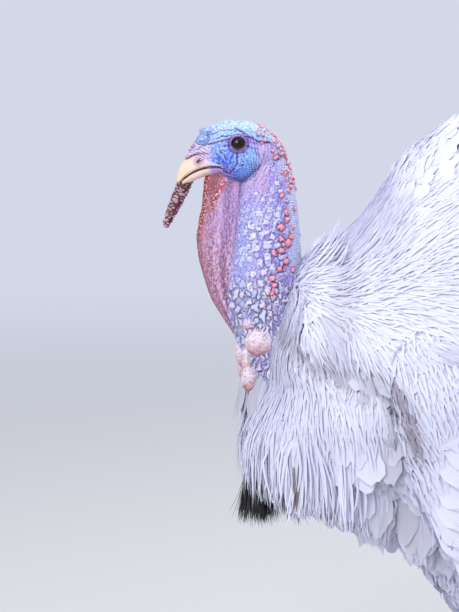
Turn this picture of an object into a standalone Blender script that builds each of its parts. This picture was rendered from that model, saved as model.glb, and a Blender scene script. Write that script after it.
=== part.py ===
# A displaying white domestic turkey tom, life size, as a still model. The bird faces -X, its left
# side faces -Y, and it stands on the floor at Z = 0. Lengths are in metres.

import math

import bmesh
import bpy
import numpy as np
from mathutils import Matrix

GAP = 0.0003           # clear space between touching pieces
CUT_GROWTH = 0.00042   # how far a cutter stands out of the piece it copies

# The body with its erected feathers: along the bird, bottom, top and half width of each section.
TORSO_SECTIONS = (
    (-0.010, 0.352, 0.352, 0.000),
    (-0.005, 0.316, 0.378, 0.052),
    (0.010, 0.302, 0.404, 0.092),
    (0.028, 0.290, 0.434, 0.120),
    (0.046, 0.282, 0.484, 0.138),
    (0.062, 0.276, 0.534, 0.150),
    (0.080, 0.270, 0.556, 0.162),
    (0.108, 0.262, 0.568, 0.175),
    (0.142, 0.252, 0.603, 0.188),
    (0.188, 0.238, 0.666, 0.200),
    (0.245, 0.232, 0.700, 0.205),
    (0.305, 0.236, 0.704, 0.200),
    (0.365, 0.254, 0.684, 0.180),
    (0.413, 0.290, 0.628, 0.145),
    (0.444, 0.350, 0.555, 0.092),
    (0.456, 0.450, 0.450, 0.000),
)
TORSO_RINGS = 22
TORSO_SIDES = 24
TORSO_POWER = 0.94     # 1 is an oval section and less is squarer
TORSO_BELLY = 0.46     # how high in the section its widest place lies
# Locks hang from the breast's lower edge, and mantle feathers stand up from the back's crest.
HEM_LOCKS = 10
HEM_REACH = (0.020, 0.205)      # along the bird, the first and the last lock
HEM_LINE = ((0.000, 0.296), (0.125, 0.264), (0.150, 0.242), (0.220, 0.212))   # where the locks end
HEM_LENGTH = (0.060, 0.085)
HEM_WIDTH = 0.030
HEM_SINK = 0.008
CREST_FEATHERS = 5
CREST_REACH = (0.190, 0.345)
CREST_RISE = 0.005
CREST_LENGTH = 0.055
CREST_WIDTH = 0.036

# The head: along the head, crown, jaw and half width of each section.
HEAD_SECTIONS = (
    (-0.0500, 0.6690, 0.6690, 0.0000),
    (-0.0488, 0.6775, 0.6570, 0.0072),
    (-0.0445, 0.6850, 0.6500, 0.0118),
    (-0.0365, 0.6915, 0.6455, 0.0155),
    (-0.0250, 0.6970, 0.6400, 0.0188),
    (-0.0110, 0.7000, 0.6335, 0.0214),
    (0.0030, 0.7000, 0.6300, 0.0230),
    (0.0165, 0.6965, 0.6340, 0.0236),
    (0.0290, 0.6900, 0.6410, 0.0226),
    (0.0405, 0.6800, 0.6480, 0.0190),
    (0.0480, 0.6700, 0.6560, 0.0118),
    (0.0505, 0.6630, 0.6630, 0.0000),
)
HEAD_RINGS = 18
HEAD_SIDES = 18
HEAD_POWER = 0.94
HEAD_BELLY = 0.44
JAW_LINE = ((-0.030, 0.6215), (0.055, 0.6440))   # the cut between head and neck, from the side
EYE_CENTRE = (-0.0020, 0.0163, 0.6746)
EYE_RADIUS = 0.0092
SOCKET_RADIUS = EYE_RADIUS + 0.0004
EYE_RINGS = 7
EYE_SIDES = 12
LID_RADIUS = 0.0083
LID_THICKNESS = 0.0018
LID_REACH = 0.0062     # how far outside the eye's centre the lids lie
# The fold of the crown above the face, from the side, and its radii.
BROW_LINE = ((-0.0391, 0.6733), (-0.0172, 0.6789), (0.0011, 0.6836), (0.0130, 0.6815), (0.0225, 0.6770))
BROW_RADII = (0.0012, 0.0022, 0.0026, 0.0024, 0.0012)
BROW_SINK = 0.0008
EAR_CENTRE = (0.0190, 0.6560)
EAR_RADII = (0.0018, 0.0030, 0.0030)
MOUTH_CENTRE = (-0.0330, 0.0185, 0.6502)
MOUTH_RADII = (0.0120, 0.0060, 0.0009)
MOUTH_TILT = math.radians(8)

# The bill: along the bill, upper edge, lower edge and half width of each section.
UPPER_BILL_SECTIONS = (
    (-0.0700, 0.6330, 0.6290, 0.0008),
    (-0.0692, 0.6400, 0.6295, 0.0024),
    (-0.0665, 0.6480, 0.6325, 0.0042),
    (-0.0610, 0.6570, 0.6385, 0.0064),
    (-0.0540, 0.6635, 0.6440, 0.0086),
    (-0.0470, 0.6668, 0.6480, 0.0106),
    (-0.0390, 0.6690, 0.6505, 0.0124),
    (-0.0300, 0.6700, 0.6505, 0.0136),
)
LOWER_BILL_SECTIONS = (
    (-0.0640, 0.6318, 0.6290, 0.0012),
    (-0.0610, 0.6358, 0.6298, 0.0036),
    (-0.0540, 0.6415, 0.6312, 0.0064),
    (-0.0460, 0.6462, 0.6340, 0.0088),
    (-0.0380, 0.6488, 0.6375, 0.0110),
    (-0.0290, 0.6490, 0.6405, 0.0126),
)
BILL_SIDES = 10
NOSTRIL_PLACE = (-0.0450, 0.6575)
NOSTRIL_RADII = (0.0040, 0.0026, 0.0010)
NOSTRIL_TILT = math.radians(-34)

# The neck: height, front, back and half width of each section.
NECK_SECTIONS = (
    (0.668, 0.0120, 0.0490, 0.0185),
    (0.650, 0.0060, 0.0550, 0.0215),
    (0.630, 0.0010, 0.0600, 0.0240),
    (0.605, -0.0020, 0.0635, 0.0262),
    (0.578, -0.0045, 0.0660, 0.0282),
    (0.550, -0.0090, 0.0680, 0.0300),
    (0.522, -0.0140, 0.0700, 0.0318),
    (0.495, -0.0150, 0.0740, 0.0340),
    (0.468, -0.0080, 0.0800, 0.0370),
    (0.440, 0.0010, 0.0880, 0.0400),
    (0.410, 0.0100, 0.0960, 0.0420),
)
NECK_RINGS = 16
NECK_SIDES = 18

# The dewlap: height, front edge, back edge and half width of each section.
DEWLAP_SECTIONS = (
    (0.6420, -0.0370, 0.0060, 0.0095),
    (0.6300, -0.0402, 0.0060, 0.0100),
    (0.6100, -0.0415, 0.0050, 0.0098),
    (0.5900, -0.0450, 0.0040, 0.0102),
    (0.5700, -0.0482, 0.0020, 0.0112),
    (0.5480, -0.0460, -0.0010, 0.0120),
    (0.5250, -0.0400, -0.0040, 0.0118),
    (0.5020, -0.0320, -0.0040, 0.0108),
    (0.4820, -0.0200, -0.0010, 0.0085),
    (0.4620, -0.0070, 0.0040, 0.0058),
    (0.4500, 0.0010, 0.0090, 0.0030),
)
DEWLAP_RINGS = 13
DEWLAP_SIDES = 20
DEWLAP_FOLDS = 3
DEWLAP_FOLD = 0.0012

# The snood hangs from the forehead over the right side of the bill.
SNOOD_PATH = (
    (-0.0410, 0.0000, 0.6740),
    (-0.0455, 0.0060, 0.6720),
    (-0.0500, 0.0125, 0.6640),
    (-0.0535, 0.0165, 0.6530),
    (-0.0575, 0.0172, 0.6400),
    (-0.0625, 0.0168, 0.6270),
    (-0.0690, 0.0155, 0.6130),
    (-0.0755, 0.0142, 0.5990),
    (-0.0820, 0.0130, 0.5850),
)
SNOOD_RADII = (0.0056, 0.0062, 0.0068, 0.0072, 0.0078, 0.0080, 0.0074, 0.0060, 0.0032)
SNOOD_RINGS = 17
SNOOD_SIDES = 7
SNOOD_WRINKLE = 0.0006

# Big fleshy bulbs at the foot of the neck: centre and radii along X, Y and Z.
MAJOR_CARUNCLES = (
    ((0.0250, -0.0270, 0.4520), (0.0180, 0.0130, 0.0145)),
    ((0.0080, -0.0200, 0.4180), (0.0105, 0.0100, 0.0180)),
    ((0.0030, -0.0080, 0.4360), (0.0070, 0.0080, 0.0190)),
    ((0.0060, 0.0100, 0.4280), (0.0095, 0.0100, 0.0200)),
    ((0.0230, 0.0270, 0.4500), (0.0170, 0.0130, 0.0150)),
    ((0.0020, 0.0000, 0.4660), (0.0080, 0.0120, 0.0110)),
    ((0.0120, -0.0240, 0.4760), (0.0100, 0.0085, 0.0090)),
    ((0.0120, 0.0240, 0.4760), (0.0100, 0.0085, 0.0090)),
)
# Small caruncles stand on the neck in rows that run down it: angle from the back, in degrees,
# height of the first and the last, count and radius.
CARUNCLE_ROWS = (
    (28, 0.655, 0.500, 5, 0.0037),
    (52, 0.612, 0.484, 4, 0.0044),
    (80, 0.582, 0.480, 4, 0.0042),
)
CARUNCLE_JITTER = 0.0035
CARUNCLE_SWAY = 6

# The standing frame of the tail: where its feathers spring from, and how it leans.
TAIL_ROOT = (0.470, 0.0, 0.450)
TAIL_LEAN = math.radians(11)
TAIL_HALF_SPREAD = math.radians(95)
TAIL_CUP = 0.03
TAIL_FEATHERS = 18
TAIL_LENGTH = 0.385
TAIL_FEATHER_WIDTH = 0.072
SHORTER_AT_SIDES = 0.08
TAIL_STEP = 0.0022       # how far each tail feather lies behind the one nearer the middle
TAIL_CORE = (0.046, 0.070, 0.060)
# Tiers of coverts: how far in front of the tail feathers, count, length, width, half spread.
TAIL_TIERS = (
    (0.0090, 12, 0.255, 0.070, math.radians(90)),
    (0.0180, 8, 0.165, 0.068, math.radians(84)),
    (-0.0240, 6, 0.200, 0.080, math.radians(70)),
)

# The drooped wing. Places along its arm are along the bird and height, on the body's side.
WING_WRIST = (0.152, 0.450)
WING_ELBOW = (0.300, 0.505)
WING_FINGER = (0.193, 0.345)
ARM_STANDS_OUT = 0.009
FINGER_STANDS_OUT = 0.026
ARM_RADII = (0.017, 0.020, 0.021, 0.019, 0.010)
ARM_FLATNESS = 0.70
SECONDARIES = 9
SECONDARY_LENGTH = 0.255
SECONDARY_WIDTH = 0.058
SECONDARY_HEADINGS = ((0.58, -0.12, -0.80), (0.70, 0.02, -0.71))   # at the wrist, at the elbow
PRIMARIES = 8
PRIMARY_LENGTH = 0.372
PRIMARY_WIDTH = 0.043
PRIMARY_HEADINGS = ((0.60, -0.12, -0.78), (0.40, -0.12, -0.91))    # at the wrist, at the finger
WING_CLEARANCE = 0.012   # the longest primary ends this far above the floor
WING_LEVELS = (0.0070, -0.0062)   # how far out the feathers lie at the wrist and at either end
WING_COVERTS = 8
COVERT_LENGTH = 0.125
COVERT_WIDTH = 0.060
COVERT_RISE = 0.0040     # how far the coverts lie over the long feathers
HAND_SHARE = 0.4         # the share of the coverts that stand on the hand

BEARD_ROOT = (0.0170, 0.0, 0.3050)
BEARD_CORE = (0.0150, 0.0160, 0.0130)
BEARD_LOCKS = 8
BEARD_LENGTH = 0.050
BEARD_WIDTH = 0.009

HOCK = (0.272, 0.088, 0.170)
ANKLE = (0.236, 0.088, 0.026)
THIGH_PATH = ((0.222, 0.086, 0.285), (0.232, 0.088, 0.245), (0.250, 0.088, 0.205), HOCK)
THIGH_RADII = (0.050, 0.044, 0.030, 0.0165)
SHANK_RADII = (0.0120, 0.0152, 0.0108, 0.0082, 0.0088, 0.0100)
SHANK_SCUTES = 5
SCUTE_RISE = 0.0006
ANKLE_RADII = (0.0128, 0.0142, 0.0136, 0.0124)
# Toes: heading from straight ahead in degrees, length, and thickness at the root.
TOES = (
    (0, 0.088, 0.0105),
    (34, 0.068, 0.0096),
    (-34, 0.070, 0.0096),
    (172, 0.034, 0.0080),
)
TOE_RINGS = 6
TOE_JOINTS = 2
SOLE_CUT = 0.0012        # how much of a toe's underside is cut away flat
CLAW_LENGTH = 0.017
CLAW_HEIGHT = 0.75       # height of the claw's root as a share of the toe's thickness
CLAW_TIP = 0.0016        # height of the claw's tip above the floor
SPUR_LENGTH = 0.016
SPUR_SHARE = 0.62        # how far down the shank the spur stands

FEATHER_THICKNESS = 0.0013
FAR = 1.0                # size of the blocks that cut pieces apart


def clear_scene():
    for item in list(bpy.data.objects):
        bpy.data.objects.remove(item)


def new_material(name, colour, roughness):
    """A Principled BSDF with one colour and no metal."""
    material = bpy.data.materials.new(name)
    material.use_nodes = True
    shader = material.node_tree.nodes["Principled BSDF"]
    shader.inputs["Base Color"].default_value = (*colour, 1.0)
    shader.inputs["Roughness"].default_value = roughness
    shader.inputs["Metallic"].default_value = 0.0
    material.diffuse_color = (*colour, 1.0)
    return material


def smooth_through(values, count):
    """Reads count rows from a smooth curve through the rows of values, evenly along the list."""
    rows = np.array(values, float)
    padded = np.vstack([2 * rows[0] - rows[1], rows, 2 * rows[-1] - rows[-2]])
    places = np.linspace(0, len(rows) - 1, count)
    whole = np.minimum(places.astype(int), len(rows) - 2)
    t = (places - whole)[:, None]
    a, b, c, d = (padded[whole + k] for k in range(4))
    return 0.5 * (
        2 * b + (c - a) * t + (2 * a - 5 * b + 4 * c - d) * t**2 + (3 * b - a - 3 * c + d) * t**3
    )


def unit(vector):
    vector = np.array(vector, float)
    return vector / np.linalg.norm(vector)


def mesh_object(name, points, faces):
    mesh = bpy.data.meshes.new(name)
    mesh.from_pydata([tuple(p) for p in points], [], [tuple(f) for f in faces])
    shape = bmesh.new()
    shape.from_mesh(mesh)
    bmesh.ops.recalc_face_normals(shape, faces=shape.faces)
    if shape.calc_volume(signed=True) < 0:
        bmesh.ops.reverse_faces(shape, faces=shape.faces)
    shape.to_mesh(mesh)
    shape.free()
    item = bpy.data.objects.new(name, mesh)
    bpy.context.scene.collection.objects.link(item)
    return item


def skin_rings(name, rings):
    """Joins rings of equally many points into one closed body. An end ring of one place is a pole."""
    sides = len(rings[0])
    points, faces, starts = [], [], []
    for ring in rings:
        pole = np.ptp(np.array(ring), axis=0).max() < 1e-6
        starts.append((len(points), pole))
        points.extend([ring[0]] if pole else ring)
    for (low, low_pole), (high, high_pole) in zip(starts, starts[1:]):
        for k in range(sides):
            n = (k + 1) % sides
            if low_pole:
                faces.append((low, high + n, high + k))
            elif high_pole:
                faces.append((low + k, low + n, high))
            else:
                faces.append((low + k, low + n, high + n))
                faces.append((low + k, high + n, high + k))
    for (start, pole), ring, turn in ((starts[0], rings[0], 1), (starts[-1], rings[-1], -1)):
        if not pole:
            middle = len(points)
            points.append(np.mean(np.array(ring), axis=0))
            for k in range(sides):
                pair = (start + k, start + (k + 1) % sides)[::turn]
                faces.append((middle, *pair[::-1]))
    return mesh_object(name, points, faces)


def oval(t, power):
    """A point of a rounded box: power 1 is an ellipse, and less is squarer."""
    c, s = math.cos(t), math.sin(t)
    return math.copysign(abs(c) ** power, c), math.copysign(abs(s) ** power, s)


def rings_along_x(sections, count, sides, power=1.0, belly=0.5):
    """Rings across X. belly is how high in the section its widest place lies."""
    rings = []
    for x, top, bottom, half in smooth_through(sections, count):
        low, high = min(top, bottom), max(top, bottom)
        middle = low + belly * (high - low)
        ring = []
        for k in range(sides):
            c, s = oval(2 * math.pi * k / sides, power)
            reach = (high - middle) if s > 0 else (middle - low)
            ring.append((x, max(half, 0.0) * c, middle + reach * s))
        rings.append(np.array(ring))
    return close_poles(rings, sections)


def close_poles(rings, sections):
    """Shrinks an end ring to one place where its section has no width."""
    for k in (0, -1):
        if sections[k][3] == 0:
            rings[k] = np.repeat(rings[k].mean(axis=0)[None], len(rings[k]), axis=0)
    return rings


def rings_up_z(sections, count, sides, power=1.0):
    """Rings across Z, each from its front to its back."""
    rings = []
    for z, front, back, half in smooth_through(sections, count):
        middle, reach = (front + back) / 2, (back - front) / 2
        ring = []
        for k in range(sides):
            c, s = oval(2 * math.pi * k / sides, power)
            ring.append((middle + reach * c, half * s, z))
        rings.append(np.array(ring))
    return rings


def tube_rings(path, radii, count, sides, flatness=1.0, wrinkle=0.0, across=(0.0, 1.0, 0.0)):
    """Rings along a bent path. flatness squeezes them along across, wrinkle swells every other one."""
    centres = smooth_through(path, count)
    sizes = smooth_through([(r,) for r in radii], count)[:, 0]
    turns = 2 * math.pi * np.arange(sides)[:, None] / sides
    rings = []
    for k, centre in enumerate(centres):
        along = unit(centres[min(k + 1, count - 1)] - centres[max(k - 1, 0)])
        across = unit(np.array(across) - along * along.dot(across))
        third = np.cross(along, across)
        size = sizes[k] + wrinkle * (-1) ** k
        rings.append(centre + size * (flatness * np.cos(turns) * across + np.sin(turns) * third))
    return rings


def ball(name, centre, radii, rings=6, sides=8):
    """A closed ellipsoid."""
    loops = []
    for k in range(rings + 1):
        lat = math.pi * k / rings
        loops.append(
            np.array([
                (
                    centre[0] + radii[0] * math.sin(lat) * math.cos(2 * math.pi * j / sides),
                    centre[1] + radii[1] * math.sin(lat) * math.sin(2 * math.pi * j / sides),
                    centre[2] + radii[2] * math.cos(lat),
                )
                for j in range(sides)
            ])
        )
    for k in (0, -1):
        loops[k][:] = loops[k].mean(axis=0)
    return skin_rings(name, loops)


# Outlines of feathers: places from root to tip, each with its width, as shares of the greatest.
BROAD_VANE = ((0.0, 0.18), (0.35, 0.78), (0.72, 1.0), (0.93, 0.76), (1.0, 0.28))
LOCK_VANE = ((0.0, 0.55), (0.4, 0.95), (0.75, 0.6), (1.0, 0.1))
HEM_VANE = ((0.0, 0.6), (0.4, 1.0), (0.8, 0.75), (1.0, 0.2))
PRIMARY_VANE = ((0.0, 0.3), (0.3, 0.85), (0.7, 1.0), (0.94, 0.7), (1.0, 0.25))


def vane(name, root, heading, face, length, width, bend=0.0, outline=BROAD_VANE):
    """A flat feather. heading runs root to tip, face is its outer side, bend lifts its tip that way."""
    heading, face = unit(heading), np.array(face, float)
    face = unit(face - heading * face.dot(heading))
    side = np.cross(heading, face)
    rings = []
    for t, share in outline:
        half = width / 2 * share
        depth = FEATHER_THICKNESS * (1.0 - 0.55 * t)
        centre = np.array(root) + heading * length * t + face * bend * length * t * t
        rings.append(np.array([
            centre - side * half,
            centre + face * depth * 0.65,
            centre + side * half,
            centre - face * depth * 0.65,
        ]))
    return skin_rings(name, rings)


def apply_modifiers(item):
    graph = bpy.context.evaluated_depsgraph_get()
    mesh = bpy.data.meshes.new_from_object(item.evaluated_get(graph))
    item.modifiers.clear()
    item.data = mesh


def keep_largest(item):
    """Leaves only the largest closed surface, and splits its faces into triangles."""
    shape = bmesh.new()
    shape.from_mesh(item.data)
    bmesh.ops.triangulate(shape, faces=shape.faces)
    left, groups = set(shape.faces), []
    while left:
        group, front = set(), [left.pop()]
        while front:
            face = front.pop()
            group.add(face)
            for edge in face.edges:
                for other in edge.link_faces:
                    if other in left:
                        left.discard(other)
                        front.append(other)
        groups.append(group)

    def extent(group):
        places = np.array([v.co for f in group for v in f.verts])
        return np.prod(np.ptp(places, axis=0) + 1e-6)

    biggest = max(groups, key=extent)
    bmesh.ops.delete(shape, geom=[f for f in shape.faces if f not in biggest], context="FACES")
    bmesh.ops.delete(shape, geom=[v for v in shape.verts if not v.link_faces], context="VERTS")
    shape.to_mesh(item.data)
    shape.free()


def fuse(name, pieces, solver="MANIFOLD"):
    """Joins closed pieces into one body with that name."""
    group = bpy.data.collections.new(name + "_pieces")
    base, others = pieces[0], pieces[1:]
    for piece in others:
        group.objects.link(piece)
    base.name = name
    if others:
        join = base.modifiers.new("join", "BOOLEAN")
        join.operation = "UNION"
        join.operand_type = "COLLECTION"
        join.collection = group
        join.solver = solver
        apply_modifiers(base)
        for piece in others:
            bpy.data.objects.remove(piece)
    bpy.data.collections.remove(group)
    keep_largest(base)
    return base


def trim(item, cutter, solver="MANIFOLD"):
    """Cuts cutter out of item and removes it."""
    cut = item.modifiers.new("cut", "BOOLEAN")
    cut.operation = "DIFFERENCE"
    cut.object = cutter
    cut.solver = solver
    apply_modifiers(item)
    bpy.data.objects.remove(cutter)
    keep_largest(item)
    return item


def grown(name, item, amount=CUT_GROWTH):
    """A copy of a body whose surface stands out by amount, to cut its neighbours clear."""
    copy = bpy.data.objects.new(name, item.data.copy())
    bpy.context.scene.collection.objects.link(copy)
    shape = bmesh.new()
    shape.from_mesh(copy.data)
    shape.normal_update()
    moved = [(v, v.co + v.normal * amount) for v in shape.verts]
    for v, place in moved:
        v.co = place
    shape.to_mesh(copy.data)
    shape.free()
    return copy


BLOCK_FACES = ((0, 1, 3, 2), (4, 6, 7, 5), (0, 4, 5, 1), (2, 3, 7, 6), (0, 2, 6, 4), (1, 5, 7, 3))


def below_floor():
    """A big block under Z = 0."""
    points = [(a * FAR, b * FAR, -c * FAR) for a in (-1, 1) for b in (-1, 1) for c in (0, 1)]
    return mesh_object("below_floor", points, BLOCK_FACES)


def mirrored(name, item):
    """The same body on the bird's other side."""
    mesh = item.data.copy()
    for v in mesh.vertices:
        v.co.y = -v.co.y
    mesh.flip_normals()
    copy = bpy.data.objects.new(name, mesh)
    bpy.context.scene.collection.objects.link(copy)
    return copy


def finish(item, material, angle=35):
    item.data.materials.clear()
    item.data.materials.append(material)
    item.data.shade_smooth()
    item.data.set_sharp_from_angle(angle=math.radians(angle))
    return item


def section_at(sections, x, count=120):
    """Top, bottom and half width of the section at x, off the smooth curve through the sections."""
    rows = smooth_through(sections, count)
    return [float(np.interp(x, rows[:, 0], rows[:, k])) for k in (1, 2, 3)]


def side_at(sections, x, z, power, belly):
    """Half width of a body at x and height z."""
    a, b, half = section_at(sections, x)
    low, high = min(a, b), max(a, b)
    middle = low + belly * (high - low)
    reach = (high - middle) if z > middle else (middle - low)
    share = min(abs(z - middle) / max(reach, 1e-6), 0.999)
    return half * (1 - share ** (2 / power)) ** (power / 2)


def torso_side(x, z):
    return side_at(TORSO_SECTIONS, x, z, TORSO_POWER, TORSO_BELLY)


def head_side(x, z):
    return side_at(HEAD_SECTIONS, x, z, HEAD_POWER, HEAD_BELLY)


def torso_core(name="torso"):
    rings = rings_along_x(TORSO_SECTIONS, TORSO_RINGS, TORSO_SIDES, TORSO_POWER, TORSO_BELLY)
    return skin_rings(name, rings)


def head_core(name="head"):
    rings = rings_along_x(HEAD_SECTIONS, HEAD_RINGS, HEAD_SIDES, HEAD_POWER, HEAD_BELLY)
    return skin_rings(name, rings)


def hem_locks():
    """Loose feathers that hang from both sides of the breast's and flank's lower edge."""
    draw = np.random.default_rng(5)
    places, ends = zip(*HEM_LINE)
    locks = []
    for k in range(HEM_LOCKS):
        x = HEM_REACH[0] + (HEM_REACH[1] - HEM_REACH[0]) * k / (HEM_LOCKS - 1)
        length = draw.uniform(*HEM_LENGTH)
        z = float(np.interp(x, places, ends)) + length
        y = torso_side(x, z) - HEM_SINK
        heading = unit((draw.uniform(-0.1, 0.2), 0.04, -1.0))
        for side in (-1, 1):
            root = np.array((x, side * y, z))
            turned = heading * (1, side, 1)
            face = (0.15 * (-1) ** k, side, 0.0)
            locks.append(vane("lock", root, turned, face, length, HEM_WIDTH, -0.10, HEM_VANE))
    return locks


def crest_feathers():
    """Erected feathers whose tips break the outline of the back."""
    feathers = []
    for k in range(CREST_FEATHERS):
        x = CREST_REACH[0] + (CREST_REACH[1] - CREST_REACH[0]) * k / (CREST_FEATHERS - 1)
        lean = 0.75 - 0.9 * k / (CREST_FEATHERS - 1)
        for side in (-1, 0, 1):
            place = x + 0.020 * abs(side)
            top = section_at(TORSO_SECTIONS, place)[1] - 0.008 * abs(side)
            heading = unit((-lean, 0.30 * side, 1.0))
            tip = np.array((place, side * 0.046, top)) + heading * CREST_RISE
            face = (-0.3, side if side else (-1) ** k, 0.2)
            root = tip - heading * CREST_LENGTH
            feathers.append(vane("vane", root, heading, face, CREST_LENGTH, CREST_WIDTH))
    return feathers


def make_torso():
    return fuse("torso", [torso_core(), *hem_locks(), *crest_feathers()])


def neck_core(name="neck"):
    return skin_rings(name, rings_up_z(NECK_SECTIONS, NECK_RINGS, NECK_SIDES))


def eyelids(side):
    """A rim of skin round the eye."""
    turns, sides = 9, 4
    middle = np.array((EYE_CENTRE[0], side * (EYE_CENTRE[1] + LID_REACH), EYE_CENTRE[2]))
    points, faces = [], []
    for k in range(turns):
        turn = 2 * math.pi * k / turns
        outward = np.array((math.cos(turn), 0.0, math.sin(turn)))
        for j in range(sides):
            around = 2 * math.pi * j / sides
            swell = outward * math.cos(around) + np.array((0.0, math.sin(around), 0.0))
            points.append(middle + outward * LID_RADIUS + swell * LID_THICKNESS)
            n, m = (k + 1) % turns, (j + 1) % sides
            faces.append((sides * k + j, sides * n + j, sides * n + m, sides * k + m))
    return mesh_object("lids", points, faces)


def brow(side):
    """The thick fold of the crown that overhangs the face."""
    path = [(x, side * (head_side(x, z) - BROW_SINK), z) for x, z in BROW_LINE]
    return skin_rings("brow", tube_rings(path, BROW_RADII, 7, 5))


def beyond(name, through, upward):
    """A big block whose one face lies on the line through two places of the bird's side view."""
    (x0, z0), (x1, z1) = through
    along = unit((x1 - x0, 0.0, z1 - z0))
    outward = np.array((-along[2], 0.0, along[0])) * (1 if upward else -1)
    middle = np.array(((x0 + x1) / 2, 0.0, (z0 + z1) / 2)) - outward * GAP / 2
    points = [
        middle + along * a * FAR + np.array((0.0, b * FAR, 0.0)) + outward * c * FAR
        for a in (-1, 1) for b in (-1, 1) for c in (0, 1)
    ]
    return mesh_object(name, points, BLOCK_FACES)


def make_eyes():
    eyes = []
    for name, side in (("eye_left", -1), ("eye_right", 1)):
        centre = (EYE_CENTRE[0], side * EYE_CENTRE[1], EYE_CENTRE[2])
        eyes.append(ball(name, centre, (EYE_RADIUS,) * 3, EYE_RINGS, EYE_SIDES))
    return eyes


def small_caruncles():
    """Bulbs in rows down both sides of the neck."""
    draw = np.random.default_rng(7)
    rows = smooth_through(NECK_SECTIONS, 60)[::-1]
    bulbs = []
    for angle, high, low, count, radius in CARUNCLE_ROWS:
        for k in range(count):
            for side in (-1, 1):
                z = high + (low - high) * k / (count - 1) + draw.uniform(-1, 1) * CARUNCLE_JITTER
                turn = math.radians(angle + draw.uniform(-1, 1) * CARUNCLE_SWAY)
                front, back, half = (float(np.interp(z, rows[:, 0], rows[:, n])) for n in (1, 2, 3))
                x = (front + back) / 2 + (back - front) / 2 * math.cos(turn)
                size = radius * draw.uniform(0.8, 1.25)
                centre = (x, side * half * math.sin(turn), z)
                bulbs.append(ball("bulb", centre, (size, size, size * 1.15), rings=3, sides=6))
    return bulbs


def slot(name, centre, radii, tilt, rings=4, sides=8):
    """A slim ellipsoid turned in the side view, to cut a slit."""
    item = ball(name, (0, 0, 0), radii, rings, sides)
    item.data.transform(Matrix.Translation(centre) @ Matrix.Rotation(tilt, 4, "Y"))
    return item


def make_head_and_neck(body):
    """The head and neck modelled whole, then parted below the jaw."""
    bulbs = [ball("bulb", c, r, rings=5, sides=8) for c, r in MAJOR_CARUNCLES]
    pieces = [head_core(), neck_core("neck_whole"), brow(-1), brow(1), eyelids(-1), eyelids(1)]
    whole = fuse("whole", [*pieces, *bulbs, *small_caruncles()])
    for side in (-1, 1):
        eye = (EYE_CENTRE[0], side * EYE_CENTRE[1], EYE_CENTRE[2])
        trim(whole, ball("socket", eye, (SOCKET_RADIUS,) * 3, EYE_RINGS, EYE_SIDES))
        ear_x, ear_z = EAR_CENTRE
        ear = (ear_x, side * head_side(ear_x, ear_z), ear_z)
        trim(whole, ball("ear", ear, EAR_RADII, rings=4, sides=6))
        mouth = (MOUTH_CENTRE[0], side * MOUTH_CENTRE[1], MOUTH_CENTRE[2])
        trim(whole, slot("mouth", mouth, MOUTH_RADII, MOUTH_TILT))
        x, z = NOSTRIL_PLACE
        trim(whole, slot("nostril", (x, side * head_side(x, z), z), NOSTRIL_RADII, NOSTRIL_TILT))
    neck = bpy.data.objects.new("neck", whole.data.copy())
    bpy.context.scene.collection.objects.link(neck)
    head = trim(whole, beyond("below", JAW_LINE, False))
    head.name = "head"
    trim(neck, beyond("above", JAW_LINE, True))
    trim(neck, grown("body_cut", body))
    return head, neck


def make_bill(head):
    """The horn of both halves of the bill, in front of the flesh of the face."""
    upper = skin_rings("bill_upper", rings_along_x(UPPER_BILL_SECTIONS, 10, BILL_SIDES, 1.0, 0.36))
    lower = skin_rings("bill_lower", rings_along_x(LOWER_BILL_SECTIONS, 8, BILL_SIDES, 1.0, 0.66))
    trim(lower, grown("upper_cut", upper))
    for piece in (upper, lower):
        trim(piece, grown("head_cut", head))
    return upper, lower


def make_snood(neighbours):
    rings = tube_rings(SNOOD_PATH, SNOOD_RADII, SNOOD_RINGS, SNOOD_SIDES, wrinkle=SNOOD_WRINKLE)
    snood = skin_rings("snood", rings)
    for neighbour in neighbours:
        trim(snood, grown("cut", neighbour))
    return snood


def make_dewlap(neighbours):
    """The loose flap of the throat, with upright folds that fade towards its edges."""
    rings = rings_up_z(DEWLAP_SECTIONS, DEWLAP_RINGS, DEWLAP_SIDES)
    for n, ring in enumerate(rings):
        fade = DEWLAP_FOLD * math.sin(math.pi * n / (len(rings) - 1))
        low, high = ring[:, 0].min(), ring[:, 0].max()
        for point in ring:
            share = (point[0] - low) / (high - low)
            wave = math.cos(2 * math.pi * DEWLAP_FOLDS * share) * 4 * share * (1 - share)
            point[1] += fade * wave * np.sign(round(point[1], 6))
    dewlap = skin_rings("dewlap", rings)
    for neighbour in neighbours:
        trim(dewlap, grown("cut", neighbour))
    return dewlap


def tail_frame():
    """The tail's upward direction and the direction its upper side faces."""
    up = np.array((math.sin(TAIL_LEAN), 0.0, math.cos(TAIL_LEAN)))
    face = np.array((-math.cos(TAIL_LEAN), 0.0, math.sin(TAIL_LEAN)))
    return up, face


def fan_heading(angle):
    up, face = tail_frame()
    across = np.array((0.0, 1.0, 0.0))
    return unit(math.cos(angle) * up + math.sin(angle) * across + TAIL_CUP * math.sin(angle) ** 2 * face)


def fan_tier(count, length, width, half_spread, offset, step):
    """Feathers set out as a fan, the middle ones in front."""
    _, face = tail_frame()
    tier = []
    for k in range(count):
        turn = half_spread * (2 * k / (count - 1) - 1)
        rank = abs(k - (count - 1) / 2) + (0.5 if k > count / 2 else 0.0)
        root = np.array(TAIL_ROOT) + face * (offset - rank * step)
        reach = length * (1 - SHORTER_AT_SIDES * (abs(turn) / half_spread) ** 2)
        tier.append(vane("vane", root, fan_heading(turn), face, reach, width, bend=-0.03))
    return tier


def tail_core():
    up, face = tail_frame()
    core = ball("tail", (0, 0, 0), TAIL_CORE, rings=10, sides=16)
    turn = Matrix((-face, (0.0, 1.0, 0.0), up)).transposed().to_4x4()
    core.data.transform(Matrix.Translation(TAIL_ROOT) @ turn)
    return core


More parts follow.
